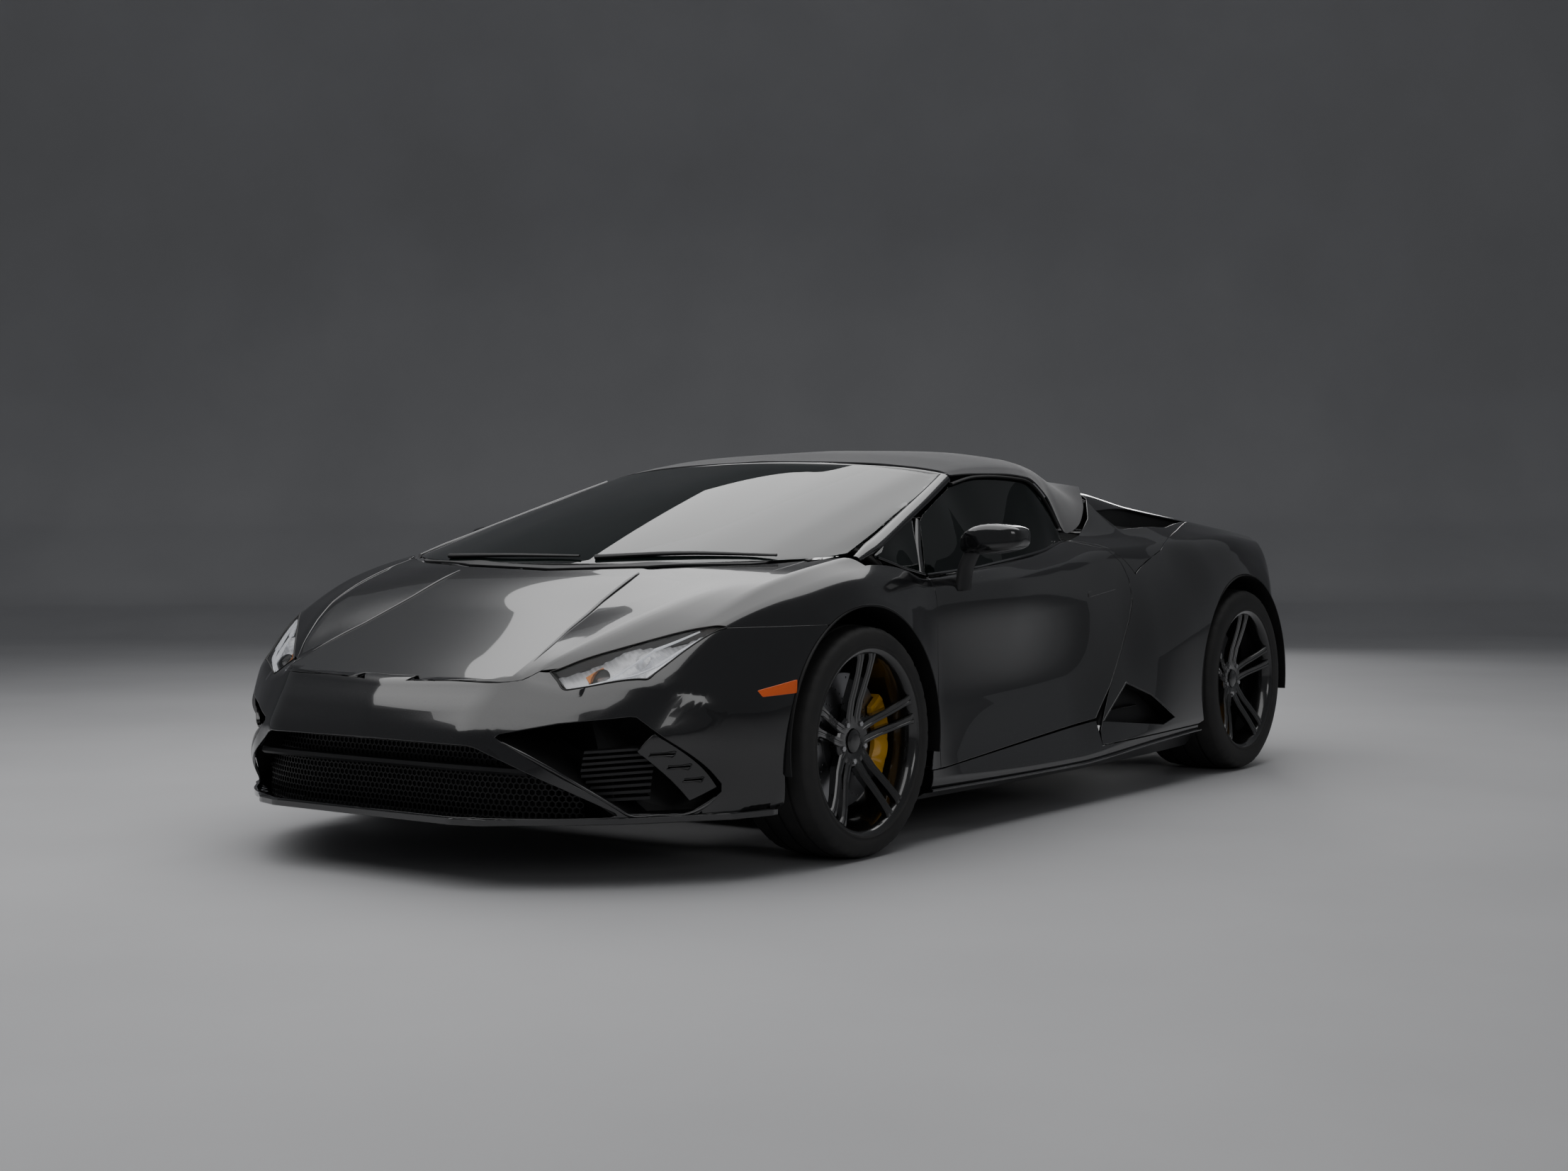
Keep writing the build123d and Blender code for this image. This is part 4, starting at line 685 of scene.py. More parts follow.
# ------------------------------------------------------------------ front bumper
# One injection-moulded shell from the lamps down to the lip, lacquered like the wings. A slanted strut on
# each side parts the middle mouth from the side opening, where a slotted blade stands.
LIP_Z = 168
TABLE_X = np.arange(0.0, 961, 5)


def plan_table(stations, reach):
    s = np.linspace(0, reach, 300)
    return np.array([np.interp(TABLE_X, section.flat(s, np.full(300, y))[:, 0], s) for y in stations])


NOSE_TABLE = plan_table(np.arange(-2330.0, -1399, 10), 5.5)


def top_s(x, y):
    """The s of the skin at plan places near the nose."""
    return looked_up(NOSE_TABLE, (y + 2330) / 10, np.abs(x) / 5)


def wall_tops():
    """The height at which the nose wall meets the top of the body, for each t."""
    tops = []
    heights = np.arange(400.0, 600, 2)
    for t in np.arange(0, 3.21, 0.05):
        flat = nose.flat(np.full(len(heights), t), heights)
        over = section.flat(top_s(flat[:, 0], flat[:, 1]), flat[:, 1])[:, 1] - heights
        last = np.where(over > 0)[0][-1]
        tops.append(heights[last] + 2 * over[last] / (over[last] - over[last + 1]))
    return np.array(tops)


TOP_T = np.append(np.arange(0, 3.21, 0.05), [4.6, 7])
TOP_Z = np.append(wall_tops(), [664, 664])
LEAN_T, LEAN = [0, 1, 2, 3, 4, 4.6, 7], [0, 5, 20, 40, 58, 70, 80]


def wall_top(t):
    return np.interp(np.abs(t), TOP_T, TOP_Z)


def rolled_corner(w, round_by, wall, top):
    """A wall for w below 0 and a top above 0, with the corner between them rounded off."""
    found = np.where((w < 0)[:, None], wall(np.minimum(w, 0)), top(np.maximum(w, 0)))
    a = ((w + round_by) / (2 * round_by))[:, None]
    bent = wall(-round_by) * (1 - a) ** 2 + wall(0 * round_by) * 2 * a * (1 - a) + top(round_by) * a * a
    return np.where((np.abs(w) < round_by)[:, None], bent, found)


def bumper_points(t, w):
    """The nose wall for w below 0, and the top of the body inward of the wall's top edge above 0."""
    t, w = np.asarray(t, float), np.asarray(w, float)

    def wall(w):
        return nose_points(t, wall_top(t) + w)

    def top(w):
        edge = wall(np.zeros(len(t)))
        lean = np.radians(np.interp(np.abs(t), LEAN_T, LEAN))
        x, y = np.abs(edge[:, 0]) - w * np.sin(lean), edge[:, 1] + w * np.cos(lean)
        return skin_points(np.copysign(top_s(x, y), t), y)

    return rolled_corner(w, 16 * np.clip((3.7 - np.abs(t)) / 0.7, 0.04, 1), wall, top)


def place_on(surface, targets, s_grid, v_grid):
    """The (s, v) of the surface nearest to each target point, refined from a grid."""
    ss, vv = [g.ravel() for g in np.meshgrid(s_grid, v_grid)]
    cloud = surface(ss, vv)
    found = []
    for target in np.atleast_2d(targets):
        k = np.argmin(np.sum((cloud - target) ** 2, axis=1))
        s, v = ss[k], vv[k]
        for _ in range(4):
            here = surface(np.array([s, s + 0.01, s]), np.array([v, v, v + 1.0]))
            slope = np.column_stack([(here[1] - here[0]) / 0.01, here[2] - here[0]])
            step = np.linalg.lstsq(slope, target - here[0], rcond=None)[0]
            s, v = s + float(np.clip(step[0], -0.1, 0.1)), v + float(np.clip(step[1], -8, 8))
        found.append((s, v))
    return found


def wall_ring(points, step=14, spacing=170, top=wall_top):
    """A closed (t, z) outline on the nose or tail wall as (t, w), with more points on its long runs."""
    found = []
    for (at, az), (bt, bz) in zip(points, points[1:] + points[:1]):
        count = max(1, int(math.hypot((bt - at) * spacing, bz - az) / step))
        found += [(at + (bt - at) * k / count, az + (bz - az) * k / count) for k in range(count)]
    return [(t, z - float(top(t))) for t, z in found]


def arch_t(z):
    """The t at which the nose wall meets the wheel arch at the height z."""
    y = FRONT_AXLE[0] - math.sqrt(FRONT_ARCH ** 2 - (z - FRONT_AXLE[1]) ** 2)
    grid = np.linspace(4.4, 7, 200)
    return float(np.interp(y, nose_points(grid, np.full(200, z))[:, 1], grid))


bumper_top = np.vstack([points_at(skin_points, ring)
                        for ring in (from_plan(HOOD_FRONT + [(467, -2086)]), from_plan(LAMP_OUTLINE),
                                     from_side([(-1752, 664), (-1452, 663)]))])
top_ring = place_on(bumper_points, bumper_top, np.linspace(0, 7, 240), np.arange(-60, 130, 4))
arch_ring = [(arch_t(z), z - float(wall_top(6))) for z in np.linspace(655, LIP_Z, 26)]
lip_ring = [(t, LIP_Z - float(wall_top(t))) for t in np.linspace(arch_ring[-1][0] - 0.04, 0, 60)]
MOUTH = [(0, 184), (2.84, 184), (2.93, 190), (2.90, 198), (2.26, 263), (1.14, 366), (1.04, 372), (0, 374)]
SIDE_OPENING = [(1.36, 392), (1.40, 402), (2.07, 429), (2.90, 446), (2.98, 444), (4.70, 262), (4.76, 240),
                (4.66, 226), (4.02, 187), (3.05, 192), (1.46, 378)]
mouth_half = [p for p in wall_ring(MOUTH) if p[0] > 0]
side_ring = wall_ring(SIDE_OPENING)
bumper_half = [p for p in top_ring + arch_ring + lip_ring if p[0] > 0.004]
finish(panel("front_bumper_skin", bumper_points,
             ring_of([(0.0, top_ring[0][1])] + bumper_half + [(0.0, lip_ring[-1][1])]),
             mirrored_steps(steps_between(0, 7, nose.corners, 9)), scale=180,
             extra=[-16, -12, -8, -4, 4, 8, 12, 16],
             holes=[mouth_half + on_one_side(mouth_half, -1), side_ring, on_one_side(side_ring, -1)]),
       black_paint, "car", "paint", "front_bumper")

# ------------------------------------------------------------------ doors
# Each door is an aluminium skin over an inner shell, hung on two hinges behind the wing. Its rear edge
# sweeps down and forward to the sill, and the flush handle lies near that edge.
DOOR_FRONT = [(-843, 213), (-838, 500), (-846, 640), (-858, 740), (-864, 774)]
DOOR_REAR = [(180, 282), (300, 385), (400, 500), (470, 600), (508, 670), (505, 740), (478, 800),
             (420, 850), (285, 880)]
DOOR_SILL = [(-843, 213), (-800, 215), (180, 282)]
BELT_S = 3.86
SIDES = ((1, "left"), (-1, "right"))


def belt(first, last, s=BELT_S, step=30):
    count = int(abs(last - first) / step)
    return [(s, first + (last - first) * k / count) for k in range(count + 1)]


door_ring = (from_side(DOOR_SILL) + from_side(DOOR_REAR)[1:] + belt(280, -860)
             + from_side(DOOR_FRONT[::-1])[1:-1])
handle_ring = ring_in(from_side, [(186, 690), (392, 712), (392, 728), (186, 706)])
for side, word in SIDES:
    steps = [side * s for s in steps_between(3.8, 8.4, section.corners, 7)]
    finish(panel(f"door_skin_{word}", skin_points, on_one_side(door_ring, side), steps, v_step=24, depth=64,
                 inward=(-side, 0, 0)), black_paint, f"door_{word}", "paint", f"door_{word}")
    finish(panel(f"door_handle_{word}", skin_points, on_one_side(handle_ring, side),
                 [side * s for s in (4.6, 4.9, 5, 5.1, 5.2)], v_step=30, depth=4, gap=0, edge=1.5, sink=-1.6),
           black_paint, f"door_{word}", "paint")

# ------------------------------------------------------------------ rear wings, deck and engine cover
# The rear wings are wide steel pressings that roll into the arches and carry the side air intakes. The
# deck between them wraps the roof's foot and holds the shoulder intakes and the vented engine cover.
INTAKE = [(222, 268), (404, 388), (560, 338), (738, 246), (640, 226)]
SLOT = [(668, 668), (738, 716), (762, 1060), (716, 1330), (650, 1000)]
DECK_SIDE = [(690, 566), (738, 405), (754, 296), (800, 410), (850, 470), (880, 560), (850, 830), (786, 1100),
             (700, 1400), (700, 1960), (690, 2010), (648, 2066)]
LID_HALF = [(0, 790), (318, 790), (331, 1000), (386, 1400), (427, 1800), (452, 2069), (0, 2069)]
BUMPER_SPLIT = [(2073, 801), (1760, 700), (1731, 500)]
quarter_arch = arc(REAR_AXLE, REAR_ARCH, 22.5, 199)
quarter_ring = (from_side([(190, 192), (195, 240)] + DOOR_REAR[1:]) + from_plan(DECK_SIDE[2:])[1:]
                + from_side([(2072, 846)] + BUMPER_SPLIT) + from_side(quarter_arch)[1:]
                + from_side([(935, 206), (470, 197), (190, 192)])[:-1])
intake_ring = ring_in(from_side, INTAKE)
for side, word in SIDES:
    steps = [side * s for s in steps_between(3.0, 8.4, section.corners, 7)]
    wing = panel(f"rear_wing_{word}", skin_points, on_one_side(quarter_ring, side), steps, v_step=22,
                 holes=[on_one_side(intake_ring, side)])
    finish(wing, black_paint, "car", "paint", *(["rear_quarters"] if side > 0 else []))

deck_half = (from_plan([(0, 700), (340, 700), (620, 690), (690, 566)]) + from_plan(DECK_SIDE)[1:]
             + from_plan([(648, 2073), (456, 2073), (452, 2066)]) + from_plan(LID_HALF[5:0:-1] + [(0, 790)]))
slot_ring = ring_in(from_plan, SLOT)
finish(panel("deck", skin_points, ring_of(deck_half),
             mirrored_steps(steps_between(0, 5.2, section.corners, 7)),
             holes=[slot_ring, on_one_side(slot_ring, -1)]), black_paint, "car", "paint", "rear_deck")

cover_slots = []
for row in range(6):
    first, last, reach = 1010 + row * 150, 1084 + row * 150, 265 + row * 8
    half_slot = ring_in(from_plan, [(70, first), (reach, first + 26), (reach + 3, last + 20), (70, last)])
    cover_slots += [half_slot, on_one_side(half_slot, -1)]
cover = panel("engine_cover_skin", skin_points, ring_of(from_plan(LID_HALF)),
              mirrored_steps(steps_between(0, 3.2, section.corners, 8)), holes=cover_slots)
finish(cover, black_paint, "engine_cover", "paint", "engine_cover")
finish(panel("engine_cover_mesh", skin_points,
             ring_of(from_plan([(0, 985), (300, 985), (345, 1860), (0, 1860)])),
             mirrored_steps(steps_between(0, 3.2, section.corners, 4)), v_step=40, depth=3, sink=16),
       trim_plastic, "engine_cover", "trim")

# ------------------------------------------------------------------ rear bumper
# A moulded shell from arch to arch. Its whole middle is one opening for the engine bay's hot air, between
# a lip like a duck's tail above and the diffuser below.
TAIL_TABLE = plan_table(np.arange(1700.0, 2300, 10), 5.2)
TAIL_T = [0, 2.6, 3.0, 3.4, 4.4, 5.0, 7]
TAIL_Z = [840, 846, 840, 812, 742, 700, 690]


def tail_top(t):
    return np.interp(np.abs(t), TAIL_T, TAIL_Z)


def tail_points(t, w):
    """The tail wall for w below 0, and the deck's rear strip forward of its top edge above 0."""
    t, w = np.asarray(t, float), np.asarray(w, float)

    def wall(w):
        return nose_points(t, tail_top(t) + w, tail, 1)

    def top(w):
        edge = wall(np.zeros(len(t)))
        y = edge[:, 1] - w
        s = looked_up(TAIL_TABLE, (y - 1700) / 10, np.abs(edge[:, 0]) / 5)
        found = skin_points(np.copysign(s, t), y)
        found[:, 2] += np.clip(1 - w / 90, 0, 1) ** 2 * (tail_top(t) + 8 - found[:, 2])
        return found

    return rolled_corner(w, np.full(len(t), 9.0), wall, top)


def tail_t(y, z, low=2):
    """The t at which the tail wall reaches y at the height z."""
    grid = np.linspace(low, 7, 300)
    return float(np.interp(-y, -nose_points(grid, np.full(300, z), tail, 1)[:, 1], grid))


def tail_arch_t(z):
    grid = np.linspace(4.2, 7, 200)
    y = REAR_AXLE[0] + math.sqrt(REAR_ARCH ** 2 - (z - REAR_AXLE[1]) ** 2)
    return float(np.interp(-y, -nose_points(grid, np.full(200, z), tail, 1)[:, 1], grid))


split_wall = [(tail_t(y, z), z) for y, z in spread([(2070, 800), (1765, 702), (1733, 505)])]
TAIL_TOP_Y = 2077
tail_t_row = np.linspace(0, 2.45, 26)
tail_upper = nose_points(tail_t_row, tail_top(tail_t_row), tail, 1)[:, 1] - TAIL_TOP_Y
tail_under = zip(np.linspace(tail_arch_t(190) - 0.05, 0, 50), np.linspace(182, 250, 50))
tail_ring = ([(t, max(w, 2.0)) for t, w in zip(tail_t_row, tail_upper)]
             + [(t, z - float(tail_top(t))) for t, z in split_wall]
             + [(tail_arch_t(z), z - float(tail_top(6))) for z in np.linspace(490, 190, 20)]
             + [(t, z - float(tail_top(t))) for t, z in tail_under])
TAIL_OPENING = [(0, 772), (1.72, 772), (2.1, 742), (2.3, 600), (2.05, 500), (1.6, 428), (0, 428)]
tail_hole = [p for p in wall_ring(TAIL_OPENING, 16, 200, tail_top) if p[0] > 0.001]
tail_half = [p for p in tail_ring if p[0] > 0.004]
finish(panel("rear_bumper_skin", tail_points,
             ring_of([(0.0, tail_ring[0][1])] + tail_half + [(0.0, tail_ring[-1][1])]),
             mirrored_steps(steps_between(0, 7, tail.corners, 8)), scale=190, v_step=22,
             holes=[tail_hole + on_one_side(tail_hole, -1)], extra=[-9, -5, 5, 9]), black_paint, "car",
       "paint", "rear_bumper")

# ------------------------------------------------------------------ side skirts
# Lacquered sills between the wheels with a sharp lower blade edge, screwed to the floor tub.
def swept(rows, count, closed=False):
    """Faces between rows of so many points each, joined into a loop or capped at both ends."""
    faces = [(k * count + j, k * count + (j + 1) % count, (k + 1) % rows * count + (j + 1) % count,
              (k + 1) % rows * count + j) for k in range(rows if closed else rows - 1) for j in range(count)]
    return faces if closed else faces + [tuple(range(count))[::-1],
                                         tuple(range((rows - 1) * count, rows * count))]


skirt_top = [(-888, 211), (-826, 211), (176, 276), (190, 191), (470, 196), (935, 204)]
skirt_ring = from_side(skirt_top) + [(8.9, y) for y in np.linspace(950, -900, 60)]
for side, word in SIDES:
    finish(panel(f"side_skirt_skin_{word}", skin_points, on_one_side(skirt_ring, side),
                 [side * s for s in steps_between(6.5, 9, section.corners, 7)], v_step=30, depth=24),
           black_paint, "car", "paint", *(["side_skirts"] if side > 0 else []))
    lip_verts = []
    for y in np.linspace(-900, 948, 60):
        x, z = section.flat(np.array([8.0]), np.array([y]))[0]
        for dx, dz in ((-26, -6), (4, -3), (9, -6), (8, -10), (2, -13), (-30, -18)):
            lip_verts.append((side * (x + dx) * MM, (y + STAND) * MM, (z + dz - 6) * MM))
    blade = smooth(new_object(f"sill_blade_{word}", lip_verts, [f[::-side] for f in swept(60, 6)]), 30)
    finish(blade, black_paint, "car", "paint")

# ------------------------------------------------------------------ windscreen
# Laminated glass, raked hard and bonded to the pillars and the header, with a printed black border. It is
# slightly bowed both ways.
SCREEN_BASE = [(-836, -1215, 844), (-800, -1262, 840), (-730, -1322, 836), (-676, -1362, 833),
               (-620, -1392, 831), (-350, -1470, 824), (0, -1500, 822)]
SCREEN_HEAD = [(-836, -415, 1027), (-800, -425, 1067), (-730, -440, 1085), (-676, -454, 1096),
               (-620, -470, 1108), (-350, -490, 1135), (0, -500, 1146)]
SCREEN_BOW = 7


def eased(lines, corners, start, end, width):
    """A surface through lines whose small kinks are averaged away over a width in mm."""
    made = Skin(lines, corners, start, end)
    kernel = np.hanning(2 * width + 1)
    kernel /= kernel.sum()
    for table in made.tables:
        for column in range(2):
            values = table[:, column]
            low = 2 * values[0] - values[width:0:-1]
            high = 2 * values[-1] - values[-2:-width - 2:-1]
            table[:, column] = np.convolve(np.concatenate([low, values, high]), kernel, "valid")
    return made


def both_ways(points):
    return points + [(-x, y, z) for x, y, z in reversed(points[:-1])]


screen = eased([both_ways(SCREEN_BASE), both_ways(SCREEN_HEAD)], [0, 0], -836, 836, 70)


def screen_points(s, x):
    s, x = np.asarray(s, float), np.asarray(x, float)
    flat = screen.flat(s, x)
    return np.column_stack([x, flat[:, 0], flat[:, 1] + SCREEN_BOW * 4 * s * (1 - s)])


def on_screen(points):
    """Plan places (x, y) as (s, x) on the windscreen."""
    found = []
    for x, y in points:
        base, head = screen.flat(np.array([0.0, 1.0]), np.array([x, x], float))[:, 0]
        found.append(((y - base) / (head - base), x))
    return found


def glass(name, tint, clear=0.30, rim=1.0):
    """Window glass: dark and mirror-smooth, seen through most where it faces the eye."""
    m = Material(name)
    facing = m.add("ShaderNodeFresnel", {"IOR": 1.52})
    return m.shaded(Base_Color=tint, Roughness=m.ramp(m.noise(m.coords, 3.0, 5), 0.3, 0.8, 0.0, 0.03),
                    Coat_Weight=1.0, Coat_Roughness=0.0, Alpha=m.ramp(facing, 0.03, 0.4, clear, rim))


window_glass = glass("green_tinted_glass", (0.006, 0.010, 0.009, 1))
frit = lacquer("printed_black_border", (0.003, 0.003, 0.003, 1), (0.004, 0.004, 0.004, 1), 0.3)
SCREEN_SIDE = [(828, -1190), (800, -1000), (776, -868), (746, -700), (716, -560), (684, -452)]


def screen_outline(base, side, head, widths, top):
    """A closed outline on the windscreen: along its base, up its side and back along its head, mirrored."""
    half = ([(base, x) for x in range(20, widths, 25)] + on_screen(spread(side, 30))
            + [(head, x) for x in range(top, 0, -25)])
    return [(base, 0)] + half + [(head, 0)] + [(s, -x) for s, x in half[::-1]]


screen_ring = screen_outline(0.0, SCREEN_SIDE, 0.985, 820, 660)
screen_steps = list(np.linspace(0.03, 0.97, 26))
finish(panel("windscreen_glass", screen_points, screen_ring, screen_steps, v_step=28, depth=5, edge=1.5,
             scale=1000, gap=0.5), window_glass, "car", "clear", "windshield")
inner_ring = screen_outline(0.075, [(x - 42, y) for x, y in SCREEN_SIDE[1:]], 0.93, 700, 600)
border = panel("windscreen_border", screen_points, screen_ring, screen_steps, v_step=28, depth=1, edge=0.3,
               scale=1000, gap=1.5, holes=[inner_ring], sink=6)
finish(border, frit, "car", "trim")

# ------------------------------------------------------------------ side windows
# Frameless door glass that drops into the door, and a fixed pane ahead of it behind an upright bar. Both
# lean inward to meet the roof.
GLASS_ROWS = [
    (-1120, (868, 832), (852, 852)), (-1000, (884, 806), (826, 896)), (-868, (884, 784), (794, 938)),
    (-700, (876, 784), (760, 988)), (-560, (866, 788), (732, 1030)), (-427, (856, 796), (708, 1058)),
    (-250, (840, 814), (698, 1086)), (-130, (826, 826), (696, 1090)), (80, (786, 848), (696, 1082)),
    (200, (756, 866), (706, 1018)), (272, (742, 878), (736, 898)),
]
side_glass = eased([[(y, *low) for y, low, high in GLASS_ROWS], [(y, *high) for y, low, high in GLASS_ROWS]],
                   [0, 0], -1120, 272, 40)


def side_glass_points(side):
    def points(s, y):
        s, y = np.asarray(s, float), np.asarray(y, float)
        flat = side_glass.flat(s, y)
        return np.column_stack([side * (flat[:, 0] + 5 * 4 * s * (1 - s)), y, flat[:, 1]])
    return points


def on_side_glass(outline):
    found = []
    for y, z in spread(outline, 25):
        low, high = side_glass.flat(np.array([0.0, 1.0]), np.array([y, y], float))[:, 1]
        found.append((min(1.0, max(0.0, (z - low) / (high - low))), y))
    return found


DOOR_GLASS = [(268, 884), (0, 848), (-500, 804), (-858, 786), (-738, 940), (-700, 962),
              (-560, 1012), (-450, 1046)]
door_glass_ring = on_side_glass(DOOR_GLASS) + [(1.0, y) for y in range(-430, 262, 24)]
QUARTER_GLASS = [(-1100, 838), (-1100, 846), (-790, 952), (-770, 946), (-882, 790)]
quarter_glass_ring = ring_in(on_side_glass, QUARTER_GLASS)
for side, word in SIDES:
    pane = panel(f"door_glass_{word}", side_glass_points(side), door_glass_ring,
                 list(np.linspace(0.05, 0.95, 12)), v_step=30, depth=4, edge=1.2, scale=240, gap=0.5)
    finish(pane, window_glass, f"door_{word}", "tinted", f"door_window_{word}")
    pane = panel(f"quarter_glass_{word}", side_glass_points(side), quarter_glass_ring,
                 list(np.linspace(0.1, 0.9, 6)), v_step=30, depth=4, edge=1.2, scale=200, gap=0.5)
    finish(pane, window_glass, "car", "tinted", *(["quarter_windows"] if side > 0 else []))

# ------------------------------------------------------------------ pillars, header and window trim
# Gloss black pillars and header frame the screen. A bright-edged weather strip runs along the belt, and
# rubber lips close round the glass.


def curve_through(points, count):
    """Points evenly placed on a smooth curve through the given ones."""
    points = np.array(points, float)
    at = np.concatenate([[0], np.cumsum(np.linalg.norm(np.diff(points, axis=0), axis=1))])
    grid = np.linspace(0, at[-1], count)
    if len(points) < 3:
        return np.column_stack([np.interp(grid, at, points[:, k]) for k in range(3)])
    slopes = np.gradient(points, at, axis=0)
    k = np.clip(np.searchsorted(at, grid, side="right") - 1, 0, len(at) - 2)
    span = (at[k + 1] - at[k])[:, None]
    t = (grid - at[k])[:, None] / span
    return ((2 * t ** 3 - 3 * t ** 2 + 1) * points[k] + (t ** 3 - 2 * t ** 2 + t) * span * slopes[k]
            + (3 * t ** 2 - 2 * t ** 3) * points[k + 1] + (t ** 3 - t ** 2) * span * slopes[k + 1])


def tube(name, points, wide, thick=None, out=(0, 0, 1), count=None, sides=10, taper=None, mirror=False,
         closed=False):
    """A rod along a smooth curve, wide across the direction out and thick along it, in mm."""
    path = curve_through(points, count or max(6, len(points) * 5))
    thick = wide if thick is None else thick
    tangents = unit(np.roll(path, -1, axis=0) - np.roll(path, 1, axis=0) if closed
                    else np.gradient(path, axis=0))
    across = unit(np.cross(tangents, np.array(out, float)))
    lift = np.cross(across, tangents)
    verts = []
    for k, place in enumerate(path):
        size = 1 if taper is None else np.interp(k / (len(path) - 1), *zip(*taper))
        for j in range(sides):
            a = 2 * math.pi * j / sides
            verts.append(place + (across[k] * wide * math.cos(a) + lift[k] * thick * math.sin(a)) * size)
    faces = swept(len(path), sides, closed)
    verts = np.array(verts) + (0, STAND, 0)
    if mirror:
        verts, faces = with_mirror(verts, faces)
    return smooth(new_object(name, verts * MM, faces), 50)


rubber = grained("window_rubber", (0.006, 0.006, 0.006, 1), (0.012, 0.012, 0.012, 1), 700, 0.62)
PILLAR = [(868, -1202, 836), (838, -1040, 886), (790, -820, 959), (748, -630, 1022), (702, -446, 1082)]
finish(tube("screen_pillars", PILLAR, 21, 13, out=(0.55, -0.2, 0.8), count=24, sides=14, mirror=True,
            taper=[(0, 0.55), (0.12, 1), (1, 1)]), black_paint, "car", "paint", "windshield_frame")
HEADER = [(700, -436, 1086), (660, -442, 1094), (360, -474, 1124), (0, -486, 1136)]
finish(tube("screen_header", both_ways(HEADER), 19, 9, out=(0, -0.28, 0.96), count=40, sides=12), black_paint,
       "car", "paint")


def glass_line(outline, out, count):
    points = points_at(side_glass_points(1), on_side_glass(outline))
    points[:, 0] += out
    return points[np.linspace(0, len(points) - 1, count).astype(int)]


belt_strip = glass_line([(268, 878), (0, 846), (-500, 802), (-856, 784)], 5, 14)
for side, word in SIDES:
    finish(tube(f"belt_strip_{word}", belt_strip * (side, 1, 1), 6, 5, count=50, sides=8), black_paint,
           f"door_{word}", "trim")
finish(tube("quarter_strip", glass_line([(-868, 786), (-1000, 810), (-1100, 838)], 5, 8), 6, 5, mirror=True),
       black_paint, "car", "trim")
finish(tube("quarter_bar", [(882, -874, 786), (834, -816, 874), (793, -756, 946)], 12, 7, out=(0.9, 0, 0.4),
            count=14, mirror=True), black_paint, "car", "trim")
head_lip = [tuple(side_glass_points(1)(np.array([1.0]), np.array([float(y)]))[0] + (4, 0, 4))
            for y in range(-420, 262, 40)]
finish(tube("window_lips", head_lip, 7, 5, count=50, sides=8, mirror=True), rubber, "car", "trim")

# ------------------------------------------------------------------ soft top
# Black woven fabric stretched over three bows from the screen header to a tensioning frame on the deck,
# with sewn seams along its brows and a bound hem over the side glass.
ROOF_ROWS = [
    (-500, 1146, 1134, (600, 1108), (680, 1092), (700, 1082)),
    (-400, 1162, 1150, (600, 1124), (680, 1109), (700, 1094)),
    (-250, 1186, 1175, (600, 1148), (674, 1128), (701, 1102)),
    (-50, 1199, 1189, (600, 1161), (672, 1136), (701, 1105)),
    (95, 1200, 1188, (596, 1159), (670, 1131), (704, 1096)),
    (210, 1195, 1182, (588, 1151), (668, 1112), (716, 1034)),
    (300, 1188, 1174, (580, 1142), (664, 1088), (742, 906)),
    (400, 1173, 1158, (564, 1123), (650, 1060), (731, 925)),
    (550, 1140, 1124, (536, 1092), (618, 1040), (680, 995)),
    (668, 1106, 1096, (506, 1088), (566, 1080), (600, 1074)),
]
roof = eased([[(r[0], 0, r[1]) for r in ROOF_ROWS], [(r[0], 400, r[2]) for r in ROOF_ROWS]]
             + [[(r[0], *r[k]) for r in ROOF_ROWS] for k in (3, 4, 5)], [0, 0.5, 0.42, 0.42, 0],
             -500, 668, 14)
BOWS = (-300, 40, 380)


def roof_points(s, y):
    s, y = np.asarray(s, float), np.asarray(y, float)
    flat = roof.flat(np.abs(s), y)
    return np.column_stack([flat[:, 0] * np.sign(s), y, flat[:, 1]])


def roof_relief(s, y, points):
    """The fabric sinks a little between its bows, and its seams stand up."""
    side = np.abs(s)
    reach = np.interp(y, [-470, *BOWS, 668], range(5))
    sag = -3.2 * np.sin(np.pi * (reach % 1)) ** 2 * np.clip(1.9 - side, 0, 1)
    seams = sum(1.1 * np.exp(-((y - bow) / 7) ** 2) for bow in BOWS[:2]) * np.clip((2.6 - side) * 4, 0, 1)
    brow = 1.3 * np.exp(-((side - 2.02) / 0.035) ** 2) * np.clip((y + 470) / 60, 0, 1)
    return sag + seams + brow


m = Material("black_canvas")
threads = [m.wave(m.coords, 340, bands_direction=way) for way in "XY"]
faded = m.ramp(m.noise(m.coords, 2.2, 6), 0.3, 0.75)
canvas = m.shaded(Base_Color=m.mix(faded, (0.030, 0.030, 0.033, 1), (0.042, 0.042, 0.046, 1)), Roughness=0.82,
                  Sheen_Weight=0.35, Sheen_Roughness=0.45,
                  Normal=m.bump(m.math("MULTIPLY", *threads), 0.25, 0.0004))
roof_front = [(s, float(np.interp(x, [0, 360, 690, 705], [-468, -456, -420, -416])))
              for s, x in [(0.0, 0), (0.3, 120), (0.6, 240), (0.9, 360), (1.3, 480), (1.8, 570), (2.3, 630),
                           (2.8, 670), (3.3, 690)]]
roof_half = (roof_front + [(4.0, float(y)) for y in range(-410, 668, 18)]
             + [(s, 668.0) for s in np.linspace(4, 0, 24)])
top_ring_roof = [(s, y) for s, y in roof_half if s > 0.001]
soft_top = panel("soft_top_fabric", roof_points, [(0.0, roof_front[0][1])] + top_ring_roof + [(0.0, 668.0)]
                 + [(-s, y) for s, y in reversed(top_ring_roof)],
                 mirrored_steps(steps_between(0, 4, roof.corners, 9)), v_step=18, depth=5, edge=1.5, gap=0.5,
                 scale=190, relief=roof_relief, extra=[-307, -293, 33, 47])
finish(soft_top, canvas, "car", "roof_fabric", "soft_top")

